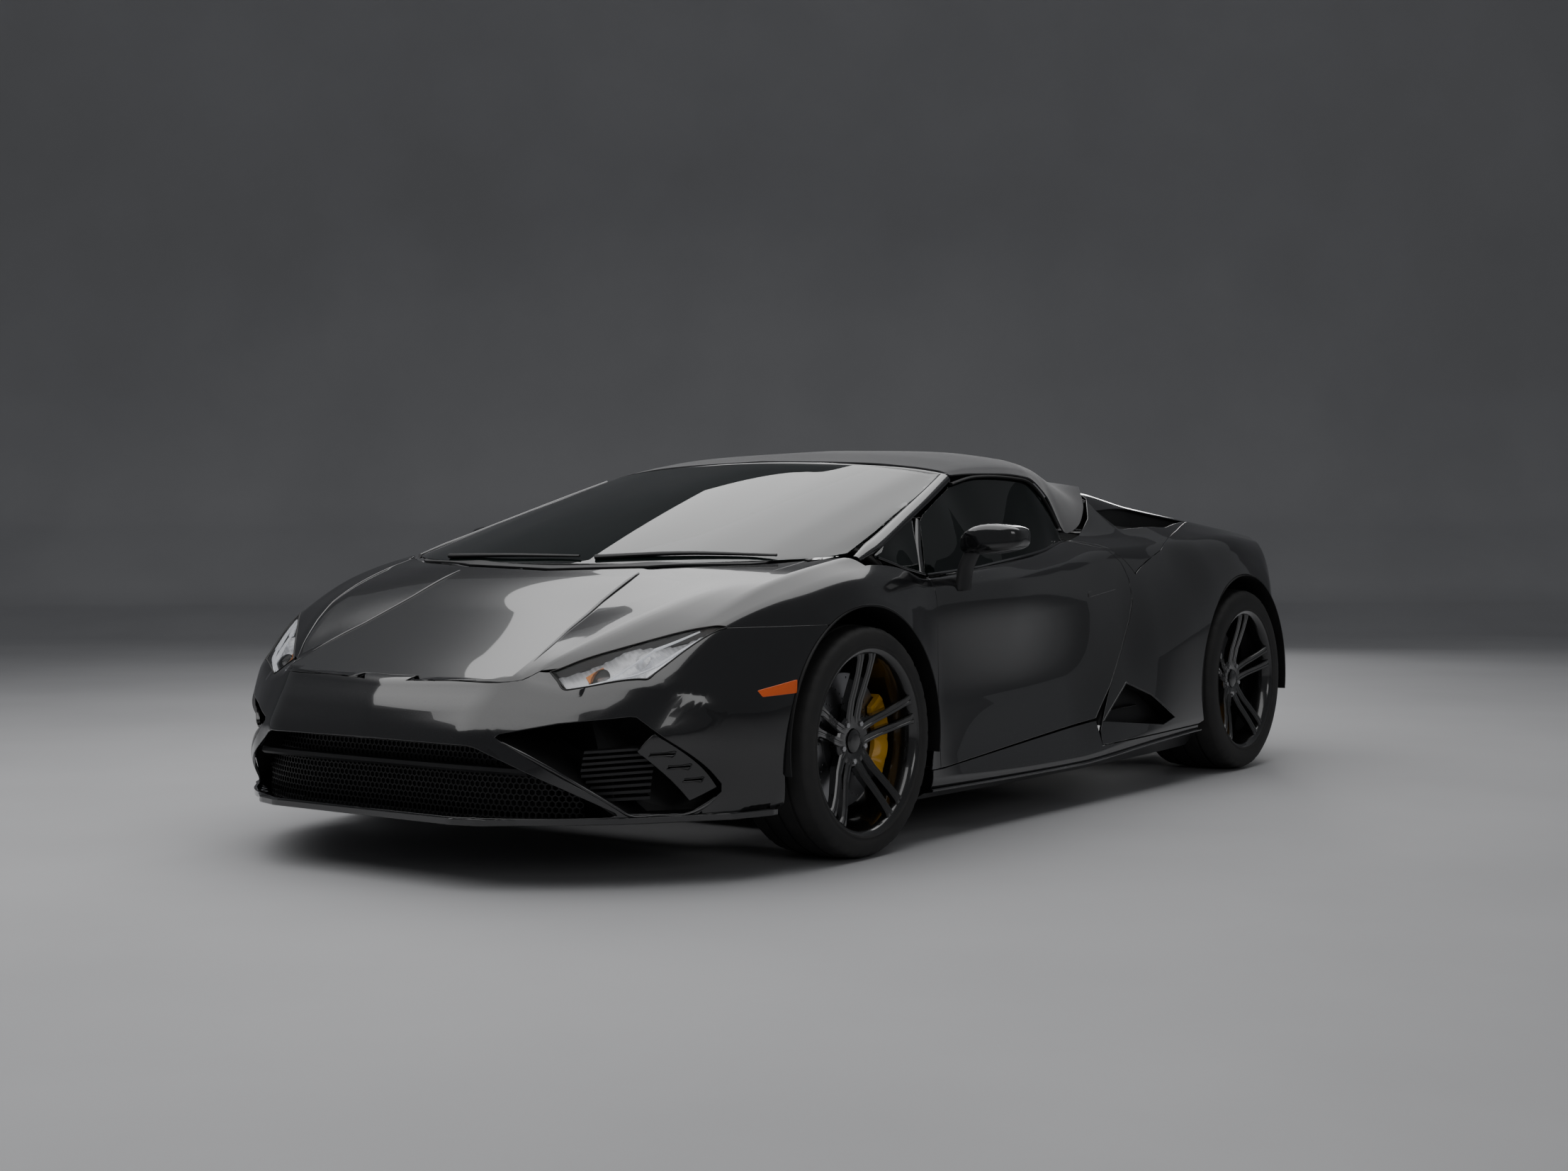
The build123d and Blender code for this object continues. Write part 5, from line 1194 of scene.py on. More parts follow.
# ------------------------------------------------------------------ mirrors
# Each door mirror is a lacquered wedge on a short black foot, with its glass facing back.
MIRROR_ROWS = [(908, -704, -640, 862, 884), (928, -742, -620, 850, 902), (960, -757, -608, 844, 926),
               (1000, -758, -606, 843, 937), (1045, -752, -607, 848, 936), (1085, -738, -612, 857, 930),
               (1108, -722, -620, 866, 922), (1117, -702, -636, 880, 910)]


def rounded_loft(rows, count=20, power=3.2):
    """Cross-sections with soft corners, each (x, front y, back y, low z, high z), joined into one solid."""
    verts = []
    for x, y0, y1, z0, z1 in rows:
        for j in range(count):
            a = 2 * math.pi * j / count
            c, s = math.cos(a), math.sin(a)
            reach = (abs(c) ** power + abs(s) ** power) ** (-1 / power)
            verts.append((x, (y0 + y1) / 2 + (y1 - y0) / 2 * c * reach,
                          (z0 + z1) / 2 + (z1 - z0) / 2 * s * reach))
    return verts, swept(len(rows), count)


def subdivided(obj, levels):
    modifier = obj.modifiers.new("soften", "SUBSURF")
    modifier.levels = modifier.render_levels = levels
    return obj


mirror_face = lacquer("silvered_glass", (0.62, 0.64, 0.66, 1), (0.58, 0.60, 0.62, 1), 0.03, 0.3, metallic=1.0)
for side, word in SIDES:
    verts, faces = rounded_loft([(x, y0 + 8 * (z1 > 0), y1, z0, z1)
                                 for x, y0, y1, z0, z1 in MIRROR_ROWS], 28, 6.5)
    verts = [(side * x * MM, (y + STAND) * MM, z * MM) for x, y, z in verts]
    head = smooth(new_object(f"mirror_head_{word}", verts, [f[::side] for f in faces]), 60)
    finish(subdivided(head, 1), black_paint, f"door_{word}", "paint", f"mirror_{word}")
    finish(tube(f"mirror_foot_{word}",
                [(side * 915, -690, 738), (side * 924, -690, 800), (side * 948, -686, 856)], 17, 38,
                out=(0, 1, 0), count=10, sides=14), trim_plastic, f"door_{word}", "trim")
    pane = [(side * x * MM, (-607 + STAND + dy) * MM, z * MM) for x, z, dy in
            ((945, 858, -1), (1090, 868, 2), (1080, 918, 2), (955, 906, -1))]
    back = [(x, y - 0.004, z) for x, y, z in pane]
    quads = [(0, 1, 2, 3), (7, 6, 5, 4), (0, 4, 5, 1), (1, 5, 6, 2), (2, 6, 7, 3), (3, 7, 4, 0)]
    finish(new_object(f"mirror_glass_{word}", pane + back, [q[::-side] for q in quads]), mirror_face,
           f"door_{word}", "steel")

# ------------------------------------------------------------------ wipers and cowl
# Two black arms sweep together from under the bonnet edge, each with a thin rubber blade. The plastic cowl
# below them lets air into the cabin.
cowl_half = from_plan([(0, -1527), (351, -1500), (642, -1400), (678, -1372), (678, -1334),
                       (600, -1350), (0, -1430)])
finish(panel("cowl_tray", skin_points, ring_of(cowl_half),
             mirrored_steps(steps_between(0, 3, section.corners, 7)), v_step=20, depth=6, sink=-4),
       trim_plastic, "car", "trim", "cowl")
WIPERS = [[(120, -1456, 838), (405, -1397, 850), (690, -1336, 845)],
          [(-520, -1411, 838), (-230, -1446, 842), (60, -1458, 841)]]
wiper_parts = [tube(f"wiper_{k}", [(x, y - 3, z + 3) for x, y, z in stroke], 7, 6, count=20, sides=8,
                    taper=[(0, 1.3), (0.5, 1), (1, 0.6)]) for k, stroke in enumerate(WIPERS)]
for k, arm in enumerate(wiper_parts):
    finish(arm, trim_plastic, "car", "trim", *(["wipers"] if k == 0 else []))

# ------------------------------------------------------------------ wheels, tyres and brakes
# Twenty-inch forged wheels with five pairs of slim ribs, bolted on under a plain cap. Low tyres with three
# grooves and cut shoulders. Drilled, vented iron discs turn in calipers enamelled yellow.
tyre_rubber = grained("tyre_rubber", (0.012, 0.012, 0.012, 1), (0.026, 0.025, 0.024, 1), 500, 0.66)
wheel_paint = lacquer("wheel_gloss_black", (0.006, 0.006, 0.006, 1), (0.009, 0.009, 0.009, 1), 0.2)
caliper_paint = lacquer("caliper_yellow", (0.80, 0.42, 0.012, 1), (0.74, 0.37, 0.01, 1), 0.22)
RIM_SEAT = 254
DISC_RADIUS = 190


def turned_metal(name, colour, roughness):
    """Metal turned on a lathe: faint rings round its axis."""
    m = Material(name)
    rings = m.wave(m.coords, 90, 0.4, wave_type="RINGS", rings_direction="X")
    return m.shaded(Base_Color=colour, Metallic=1.0,
                    Roughness=m.ramp(rings, 0, 1, roughness, roughness + 0.12),
                    Normal=m.bump(rings, 0.12, 0.0002))


disc_iron = turned_metal("turned_disc_iron", (0.36, 0.36, 0.37, 1), 0.28)
steel = turned_metal("bright_steel", (0.52, 0.52, 0.53, 1), 0.22)


def revolved(profile, x, y, z, count, dent=None):
    """Vertices and faces of a closed (across, radius) profile turned about a wheel's axle, in mm."""
    verts = []
    for k in range(count):
        a = 2 * math.pi * k / count
        for j, (across, radius) in enumerate(profile):
            reach = radius - (dent(j, k) if dent else 0)
            verts.append((x + across, y + STAND + reach * math.cos(a), z + reach * math.sin(a)))
    return verts, swept(count, len(profile), True)


def tyre_profile(half, radius):
    """Tread with three grooves, rounded shoulders, sidewalls with a rim guard, and the bead."""
    tread = []
    for groove in (-0.5, 0, 0.5):
        at = groove * half * 0.9
        tread += [(at - 6, 0), (at - 5, -6), (at + 5, -6), (at + 6, 0)]
    crown = [(across, radius - 5 * (across / half) ** 2 + drop) for across, drop in tread]
    side = [(half * 0.84, radius - 6), (half * 0.93, radius - 13), (half * 0.975, radius - 24),
            (half - 1, radius - 36), (half, radius - 46), (half - 1.5, RIM_SEAT + 22),
            (half - 3, RIM_SEAT + 17), (half - 1.5, RIM_SEAT + 12), (half - 5, RIM_SEAT + 7),
            (half - 16, RIM_SEAT + 5), (half - 22, RIM_SEAT + 1)]
    return [(-a, r) for a, r in side[::-1]] + crown + side


def wheel_rib(half, offset, angle):
    """One slim rib from the hub to the rim, dished at the middle of its length."""
    stations = [(40, -60, 12, 25), (75, -57, 12, 27), (115, -49, 11, 28), (150, -37, 10.5, 27),
                (195, -23, 10, 24), (232, -14, 11, 22), (247, -13, 15, 24)]
    verts = []
    c, s = math.cos(angle), math.sin(angle)
    for reach, face, wide, deep in stations:
        aside = offset * (17 + 13 * (reach / 250) ** 1.4)
        ring = [(-wide, -deep), (-wide - 2, -5), (-wide + 1, 0), (-3.5, 0), (-1.5, -2.5), (1.5, -2.5),
                (3.5, 0), (wide - 1, 0), (wide + 2, -5), (wide, -deep)]
        for side, back in ring:
            y, z = reach * c - (aside + side) * s, reach * s + (aside + side) * c
            verts.append((half + face + back, y, z))
    return verts, swept(len(stations), 10)


def circle(radius, count, x=0, y=0):
    """A closed ring of points."""
    angles = [2 * math.pi * k / count for k in range(count)]
    return [(x + radius * math.cos(a), y + radius * math.sin(a)) for a in angles]


def disc_plate(name, x, y, z, thick, holes):
    """One friction face of a drilled disc, as a plate with its holes."""
    def plane(s, v):
        return np.column_stack([np.full(len(s), x), y + np.asarray(s), z + np.asarray(v)])
    return panel(name, plane, circle(DISC_RADIUS, 96), [-150, 0, 150], v_step=150, depth=thick, edge=0.8,
                 gap=0.2, scale=1, holes=[circle(104, 60)] + holes)


drillings = []
for k, (cy, cz) in enumerate(circle(1, 60)):
    reach = 118 + 15 * (k % 5)
    drillings.append(circle(3.6, 8, cy * reach, cz * reach))


def joined(name, pieces, side, angle):
    """One smooth piece from several closed shapes drawn for the left side, mirrored for the right."""
    verts, faces = [], []
    for piece_verts, piece_faces in pieces:
        faces += [tuple(i + len(verts) for i in f[::side]) for f in piece_faces]
        verts += [(v[0] * side, v[1], v[2]) for v in piece_verts]
    return smooth(turned_outward(new_object(name, np.array(verts) * MM, faces)), angle)


def placed(shape, x, y, z):
    verts, faces = shape
    return [(v[0] + x, v[1] + y + STAND, v[2] + z) for v in verts], faces


def caliper_shape(x, y, z, toward):
    """A U-shaped casting over the disc's edge, with three piston housings standing out of its face."""
    ring = [(-38, 138), (-38, 206), (-30, 213), (38, 213), (45, 207), (46, 196), (46, 150), (43, 138),
            (29, 138), (29, 197), (-15, 197), (-15, 138)]
    verts = []
    steps = 37
    for k in range(steps):
        a = math.radians(-36 + 72 * k / (steps - 1))
        ends = max(0.0, abs(k - 18) - 15) / 3
        valley = 7 * (0.5 + 0.5 * math.cos(a * 15)) ** 2
        for across, reach in ring:
            if across > 40:
                across -= valley * (0.9 if reach > 140 else 0.4)
            reach = 176 + (reach - 176) * (1 - 0.25 * ends)
            verts.append((x + across, y + STAND + toward * reach * math.cos(a), z + reach * math.sin(a)))
    return verts, [f[::toward] for f in swept(steps, len(ring))]


def turned_outward(obj):
    bm = bmesh.new()
    bm.from_mesh(obj.data)
    bmesh.ops.recalc_face_normals(bm, faces=bm.faces)
    bm.to_mesh(obj.data)
    bm.free()
    return obj


for end, x, y, radius, width, toward in (("front", 834, -1260, 327, 245, 1),
                                         ("rear", 810, 1360, 345, 305, -1)):
    half = width / 2
    crown = tyre_profile(half, radius)
    shoulder = {j for j, (across, r) in enumerate(crown) if abs(across) > half * 0.8 and r > radius - 20}
    tyre_shape = revolved(crown, x, y, radius, 216, lambda j, k: 3.2 if j in shoulder and k % 6 == 0 else 0)
    barrel = [(half - 8, 264), (half - 5.5, 261), (half - 7, 256), (half - 11, 250), (half - 22, 244),
              (half - 48, 238), (half - 95, 233), (28 - half, 229), (14 - half, 250), (8 - half, 262),
              (10 - half, 264), (18 - half, 254.5), (half - 18, 254.5)]
    hub = [(half - 120, 30), (half - 120, 66), (half - 92, 74), (half - 66, 76), (half - 60, 70),
           (half - 59, 40), (half - 62, 34)]
    cap = [(half - 66, 0.01), (half - 66, 33), (half - 58, 33), (half - 55, 29), (half - 54, 20),
           (half - 53.5, 0.01)]
    bolt = [(half - 62, 0.01), (half - 62, 7.5), (half - 61, 8.5), (half - 55, 8.5), (half - 54, 7.5),
            (half - 54, 0.01)]
    bell = [(-8, 40), (-8, 104), (-2, 107), (20, 107), (28, 100), (30, 60), (28, 40)]
    ribs = [placed(wheel_rib(half, offset, math.radians(90 + 72 * k)), x, y, radius) for k in range(5)
            for offset in (-1, 1)]
    turns = [math.radians(54 + 72 * k) for k in range(5)]
    bolts = [revolved(bolt, x, y + 57 * math.cos(a), radius + 57 * math.sin(a), 6) for a in turns]
    pieces = (("tyre_{}_rubber", [tyre_shape], 35, tyre_rubber, "tyre", "tyre_{}"),
              ("wheel_{}_casting", [revolved(barrel, x, y, radius, 120)] + ribs
               + [revolved(hub, x, y, radius, 60)], 32, wheel_paint, "wheel_paint", "rim_{}"),
              ("wheel_cap_{}", [revolved(cap, x, y, radius, 40)], 40, wheel_paint, "wheel_paint", None),
              ("wheel_bolts_{}", bolts, 30, steel, "steel", None),
              ("disc_bell_{}", [revolved(bell, x, y, radius, 60)], 35, trim_plastic, "disc_iron", None))
    for side, word in SIDES:
        place = f"{end}_{word}"
        body = f"wheel_{place}"
        for name, shapes, angle, material, slot, node in pieces:
            finish(joined(name.format(place), shapes, side, angle), material, body, slot,
                   *([node.format(place)] if node else []))
        for k, at in enumerate((24, -10)):
            plate = disc_plate(f"disc_{place}_face_{k}", side * (x + at), y, radius, 12,
                               [ring[::side] for ring in drillings])
            if (side > 0) != (at > 0):
                plate.data.flip_normals()
            finish(plate, disc_iron, body, "disc_iron", *([f"disc_{place}"] if k == 0 else []))
        caliper = joined(f"caliper_{place}_casting", [caliper_shape(x, y, radius, toward)], side, 30)
        if end == "front":
            finish(caliper, caliper_paint, f"steer_{word}", "caliper_paint", f"caliper_{place}")
        else:
            finish(caliper, caliper_paint, "car", "caliper_paint", *(["rear_calipers"] if side > 0 else []))

# ------------------------------------------------------------------ headlamps
# A clear cover flush with the wing over a deep bright housing: a main reflector bowl with its lens, an
# amber indicator, and a forked light guide. The housing is screwed to the bumper from behind.
lamp_glass = glass("clear_lamp_cover", (0.01, 0.01, 0.011, 1), 0.03, 0.35)


def reflector(name, colour, roughness=0.16):
    """Bright-coated plastic with fine moulded flutes, glowing faintly in its own colour: painted light."""
    m = Material(name)
    flutes = m.wave(m.coords, 28, bands_direction="DIAGONAL")
    # The faint emission in the base colour is painted light that brightens the housing and the amber prisms.
    return m.shaded(Base_Color=colour, Metallic=0.25, Emission_Color=colour, Emission_Strength=0.16,
                    Roughness=m.ramp(flutes, 0.1, 0.9, roughness, roughness + 0.14),
                    Normal=m.bump(flutes, 0.1, 0.0006))


lamp_bright = reflector("lamp_bright_housing", (0.86, 0.87, 0.90, 1), 0.2)
lamp_amber = reflector("lamp_amber_prism", (0.75, 0.24, 0.03, 1))
light_guide = grained("frosted_light_guide", (0.84, 0.86, 0.9, 1), (0.76, 0.78, 0.83, 1), 1500,
                      0.25, glow=0.35)
lamp_ring = ring_in(from_plan, LAMP_OUTLINE)
lamp_steps = steps_between(1, 5.5, section.corners, 10)
cover = panel("headlamp_cover", skin_points, lamp_ring, lamp_steps, v_step=16, depth=3, edge=1.2, both=True)
finish(cover, lamp_glass, "car", "clear", "headlamp_lenses")
seal_path = points_at(skin_points, lamp_ring + lamp_ring[:1]) + (0, 0, 0.2)
finish(tube("headlamp_seal", seal_path, 2.6, 1.6, count=160, sides=8, mirror=True), rubber, "car", "trim")
lamp_inner = tuck_in(lamp_ring, 5, 130)
finish(panel("headlamp_walls", skin_points, lamp_ring, lamp_steps, v_step=16, depth=34, edge=0.5, both=True,
             sink=3.4, holes=[lamp_inner], gap=GAP / 2 + 0.5), trim_plastic, "car", "trim")


def lamp_floor(s, v, points):
    """Steps in the housing floor, deepest in the middle."""
    return 9 * np.round(np.sin(points[:, 1] / 26) + np.sin(points[:, 0] / 31)) * 0.8


finish(panel("headlamp_housing", skin_points, lamp_ring, list(np.arange(1, 5.5, 0.04)), v_step=7,
             depth=3, edge=0.5, both=True, sink=30, relief=lamp_floor, gap=GAP / 2 + 1), lamp_bright,
       "car", "lamp", "headlamps")


def under_cover(x, y, drop):
    return points_at(skin_points, from_plan([(x, y)]))[0] - (0, 0, drop)


guides = [[under_cover(x, y, 13) for x, y in line]
          for line in ([(572, -2066), (640, -2016), (700, -1966), (728, -1930)],
                       [(640, -2016), (672, -1960), (700, -1900)], [(728, -1930), (765, -1860), (800, -1790)],
                       [(700, -1900), (740, -1850), (772, -1800)])]
for k, line in enumerate(guides):
    guide = tube(f"headlamp_guide_{k}", line, 8, 4, count=14, sides=10, mirror=True,
                 taper=[(0, 1), (1, 0.55)])
    finish(guide, light_guide, "car", "lamp")
for k, (x, y, size) in enumerate(((606, -2014, 33), (676, -1925, 27))):
    cx, cy, cz = under_cover(x, y, 26)
    bowl = [(size * 0.2, 0.01), (size * 0.2, 0.3 * size), (0, 0.75 * size), (-4, size), (-7, size),
            (-4, 0.75 * size), (size * 0.1, 0.01)]
    verts, faces = revolved([(-a, r) for a, r in bowl], 0, 0, 0, 28)
    aim = Matrix.Rotation(math.radians(-35), 3, "X") @ Matrix.Rotation(math.radians(90), 3, "Z")
    verts = [aim @ (Vector(v) - Vector((0, STAND, 0))) + Vector((cx, cy + STAND, cz)) for v in verts]
    verts, faces = with_mirror(verts, faces)
    bowl = turned_outward(new_object(f"headlamp_bowl_{k}", verts * MM, faces))
    finish(smooth(bowl, 30), lamp_bright if k else window_glass, "car", "lamp")
for name, outline, sink in (("indicator", [(572, -2036), (592, -2042), (622, -2004), (602, -1994)], 24),
                            ("rear_prism", [(776, -1852), (800, -1846), (816, -1775), (806, -1778)], 16)):
    prism = panel(f"headlamp_{name}", skin_points, ring_in(from_plan, outline), lamp_steps, v_step=14,
                  depth=3, edge=0.8, both=True, sink=sink)
    finish(prism, lamp_amber, "car", "lamp")

# ------------------------------------------------------------------ side markers
# An amber prism each side, pressed into the bumper ahead of the wheel.
marker_amber = lacquer("marker_amber", (0.80, 0.10, 0.008, 1), (0.95, 0.17, 0.015, 1), 0.22)
marker_ring = wall_ring([(5.16, 499), (5.98, 521), (5.95, 488), (5.24, 484)])
for side, word in SIDES:
    finish(panel(f"side_marker_{word}", bumper_points, on_one_side(marker_ring, side),
                 [side * s for s in np.arange(4.5, 7, 0.06)][::side], depth=5, edge=1.4, sink=-1.6, gap=0,
                 scale=180), marker_amber, "car", "lamp")

# ------------------------------------------------------------------ front grilles
# Black hexagon mesh behind the middle mouth with a cross bar, and louvred ducts behind the side openings
# with a slotted blade standing in each. Moulded plastic, clipped into the bumper from behind.
def mesh_plate(name, outline, y, pitch=17, wall=2.2, depth=6, rounds=()):
    """A honeycomb standing across the car, cut to an (x, z) outline and round any (x, z, radius) pipes."""
    verts, faces = [], []
    xs = [p[0] for p in outline]
    zs = [p[1] for p in outline]
    rows = int((max(zs) - min(zs)) / (pitch * 0.866)) + 2
    cols = int((max(xs) - min(xs)) / pitch) + 2
    for i in range(rows):
        for j in range(cols):
            cx = min(xs) + pitch * (j + 0.5 * (i % 2))
            cz = min(zs) + pitch * 0.866 * i
            if not inside(np.array([(cx, cz)]), outline)[0] or any(
                    math.hypot(cx - x, cz - z) < reach + pitch * 0.6 for x, z, reach in rounds):
                continue
            base = len(verts)
            for place in (0, depth):
                for reach in (pitch / math.sqrt(3), pitch / math.sqrt(3) - wall):
                    for k in range(6):
                        a = math.radians(30 + 60 * k)
                        x, z = cx + reach * math.cos(a), cz + reach * math.sin(a)
                        verts.append((x, (y(x, z) if callable(y) else y) + STAND + place, z))
            for k in range(6):
                m = (k + 1) % 6
                faces += [(base + k, base + m, base + 6 + m, base + 6 + k),
                          (base + 6 + k, base + 6 + m, base + 18 + m, base + 18 + k),
                          (base + 12 + m, base + 12 + k, base + 18 + k, base + 18 + m),
                          (base + m, base + k, base + 12 + k, base + 12 + m)]
    return new_object(name, np.array(verts) * MM, faces)


def slab(name, rings, mirror=False):
    """A closed solid through several (x, y, z) rings of equal length."""
    verts, faces = np.vstack(rings) + (0, STAND, 0), swept(len(rings), len(rings[0]))
    if mirror:
        verts, faces = with_mirror(verts, faces)
    return turned_outward(new_object(name, verts * MM, faces))


def run_along(axis, outline, places):
    """Rings of one flat outline at several places along the x, y or z axis."""
    return [[[*p[:axis], place, *p[axis:]] for p in outline] for place in places]


def bevelled(obj, width, angle=30, segments=2):
    """Rounds every edge sharper than the angle, by a width in mm."""
    bm = bmesh.new()
    bm.from_mesh(obj.data)
    edges = [e for e in bm.edges if len(e.link_faces) == 2 and e.calc_face_angle() > math.radians(angle)]
    bmesh.ops.bevel(bm, geom=edges, offset=width * MM, segments=segments, affect="EDGES", clamp_overlap=True)
    bm.to_mesh(obj.data)
    bm.free()
    return smooth(obj, 40)


duct_plastic = grained("duct_black_plastic", (0.006, 0.006, 0.0065, 1), (0.012, 0.012, 0.012, 1), 600, 0.55)
finish(mesh_plate("mouth_mesh", [(-600, 184), (600, 184), (590, 262), (430, 366), (-430, 366), (-590, 262)],
                  lambda x, z: -2156 + 92 * max(0.0, (abs(x) - 250) / 350) ** 2), duct_plastic, "car", "trim",
       "front_grilles")
MOUTH_FLOOR = [(-640, -2004), (640, -2004), (620, -2070), (540, -2135), (410, -2230), (330, -2258),
               (-330, -2258), (-410, -2230), (-540, -2135), (-620, -2070)]
MOUTH_ROOF = [(-440, -2118), (440, -2118), (400, -2200), (-400, -2200)]
RADIATOR = [(-500, 186), (500, 186), (500, 260), (400, 368), (-400, 368), (-500, 260)]
REAR_WALL = [(-650, 169), (650, 169), (650, 300), (400, 400), (-400, 400), (-650, 300)]
for name, axis, outline, places, edge in (
        ("radiator", 1, RADIATOR, (-2090, -2080), 1), ("rear_wall", 1, REAR_WALL, (-2010, -2004), 1),
        ("floor", 2, MOUTH_FLOOR, (168.5, 176), 1.5), ("roof", 2, MOUTH_ROOF, (368, 374), 1.5)):
    block = slab(f"mouth_{name}", run_along(axis, outline, places))
    finish(bevelled(block, edge), duct_plastic, "car", "trim")
bar_rows = []
for x in np.linspace(-505, 505, 31):
    y = -2192 + 20 * abs(x / 505) ** 2.5
    bar_rows.append([(x, y + a, 303 + b)
                     for a, b in ((-8, -4), (-6, 6), (0, 10), (16, 9), (18, -8), (0, -11))])
cross_bar = slab("mouth_cross_bar", bar_rows)
finish(smooth(cross_bar, 35), trim_plastic, "car", "trim")


def on_wall(points, sink):
    """Points of the nose wall for (t, z), moved in behind the skin by an amount in mm."""
    t, z = np.array(points, float).T
    here = nose_points(t, z)
    normal = unit(np.cross(nose_points(t + 0.02, z) - here, nose_points(t, z + 2) - here))
    normal *= np.sign(np.sum(normal * (here + (0, 1500, 0)) * (1, 1, 0), axis=1))[:, None]
    return here - normal * sink


side_back = [(1.3, 400), (1.9, 440), (2.9, 458), (3.5, 420), (4.8, 262), (4.85, 225), (4.1, 178),
             (3.0, 180), (2.2, 290)]
deep = [(x * 0.96 + 8, max(y + 130, -1960), z) for x, y, z in on_wall(side_back, 6)]
finish(slab("side_duct_back", [deep, [(x, y + 6, z) for x, y, z in deep]], True), duct_plastic, "car", "trim")
for name, corners, lift in (("under", (5, 6, 7), 5.0), ("outer", (3, 4, 5), -5.0), ("upper", (1, 2, 3), -5.0),
                            ("inner", (7, 8, 0, 1), -5.0)):
    rings = []
    for k in corners:
        front, back, inward = on_wall([side_back[k]], 7)[0], np.array(deep[k]), (0, 0, lift)
        rings.append([front, back, back + inward, front + inward])
    finish(slab(f"side_duct_{name}", rings, True), duct_plastic, "car", "trim")
for k in range(9):
    z = 222 + 16 * k
    rings = []
    for t in np.linspace(2.45 + max(0, 290 - z) * 0.004, 3.45, 8):
        rings.append(np.vstack([on_wall([(t, z + 2), (t, z - 5)], 46),
                                on_wall([(t, z - 5), (t, z + 2)], 46 + 26)]))
    finish(slab(f"side_louvre_{k}", rings, True), trim_plastic, "car", "trim")
BLADE = [(3.15, 351), (3.33, 399), (4.66, 248), (4.08, 218)]
blade_ring = wall_ring(BLADE)
slots = []
for t, z in ((3.50, 341), (3.80, 305), (4.10, 269)):
    slots.append(wall_ring([(t - 0.20, z - 4), (t + 0.19, z - 4), (t + 0.21, z + 4), (t - 0.18, z + 4)], 30))
for side, word in SIDES:
    holes = [on_one_side(ring, side) for ring in slots]
    blade = panel(f"side_blade_{word}", bumper_points, on_one_side(blade_ring, side),
                  [side * s for s in np.arange(2.8, 5.2, 0.08)][::side], depth=11, edge=2.5, gap=0, sink=15,
                  scale=180, holes=holes)
    finish(blade, black_paint, "car", "trim")
    for j, ring in enumerate(slots):
        lip = on_wall([(side * t, w + float(wall_top(t))) for t, w in ring], 13.5)
        rim = tube(f"blade_slot_{word}_{j}", lip, 1.5, count=24, sides=6, out=(0, 1, 0))
        finish(rim, black_paint, "car", "trim")
STRUT = [(1.47, 380), (1.9, 334), (2.5, 264), (2.95, 205), (3.05, 192), (3.5, 187), (4.02, 187), (4.4, 205),
         (4.66, 226), (4.75, 240)]
finish(tube("strut_edge", on_wall(STRUT, -0.5), 4.5, 3, count=60, sides=8, out=(0.3, -1, 0), mirror=True,
            taper=[(0, 0.3), (0.1, 1), (0.9, 1), (1, 0.3)]), black_paint, "car", "paint")

# ------------------------------------------------------------------ front splitter
# A flat undertray blade of black-coated composite that reaches ahead of the lip, screwed under the bumper.
# Its outer ends, which turn up a little on the car, are drawn flat.
def splitter_plane(s, v):
    s, v = np.asarray(s, float), np.asarray(v, float)
    return np.column_stack([s, v, np.full(len(s), 167.0)])


SPLITTER = [(0, -2285), (340, -2285), (420, -2262), (560, -2152), (700, -2040), (800, -1906), (880, -1800),
            (925, -1660), (850, -1660), (790, -1820), (620, -2020), (400, -2150), (0, -2170)]
blade_half = spread(SPLITTER, 40)
finish(panel("splitter_blade", splitter_plane, ring_of(blade_half), list(np.arange(-920.0, 921, 40)),
             v_step=40, depth=16, edge=4, scale=1, gap=4), black_paint, "car", "trim", "front_splitter")

# ------------------------------------------------------------------ seats
# Two shell bucket seats in black hide over foam, with raised bolsters, sewn cross channels and a stitched
# centre, bolted to rails on the tub floor.
m = Material("black_hide")
pebbles = m.group(moulded_grain, Scale=420)
creases = m.noise(m.coords, 14, 6)
# The colour follows the crease relief and is darker where it sinks: painted shade in the creases.
black_hide = m.shaded(Base_Color=m.mix(m.ramp(creases, 0.35, 0.7), (0.014, 0.013, 0.013, 1),
                                       (0.024, 0.022, 0.021, 1)),
                      Roughness=m.ramp(pebbles["Wear"], 0.2, 0.8, 0.38, 0.52), Sheen_Weight=0.15,
                      Normal=m.bump(m.math("ADD", pebbles["Height"],
                                           m.math("MULTIPLY", creases, 1.5)), 0.4, 0.0006))
stitch_thread = grained("pale_stitch_thread", (0.22, 0.2, 0.18, 1), (0.3, 0.28, 0.25, 1), 2200, 0.7)


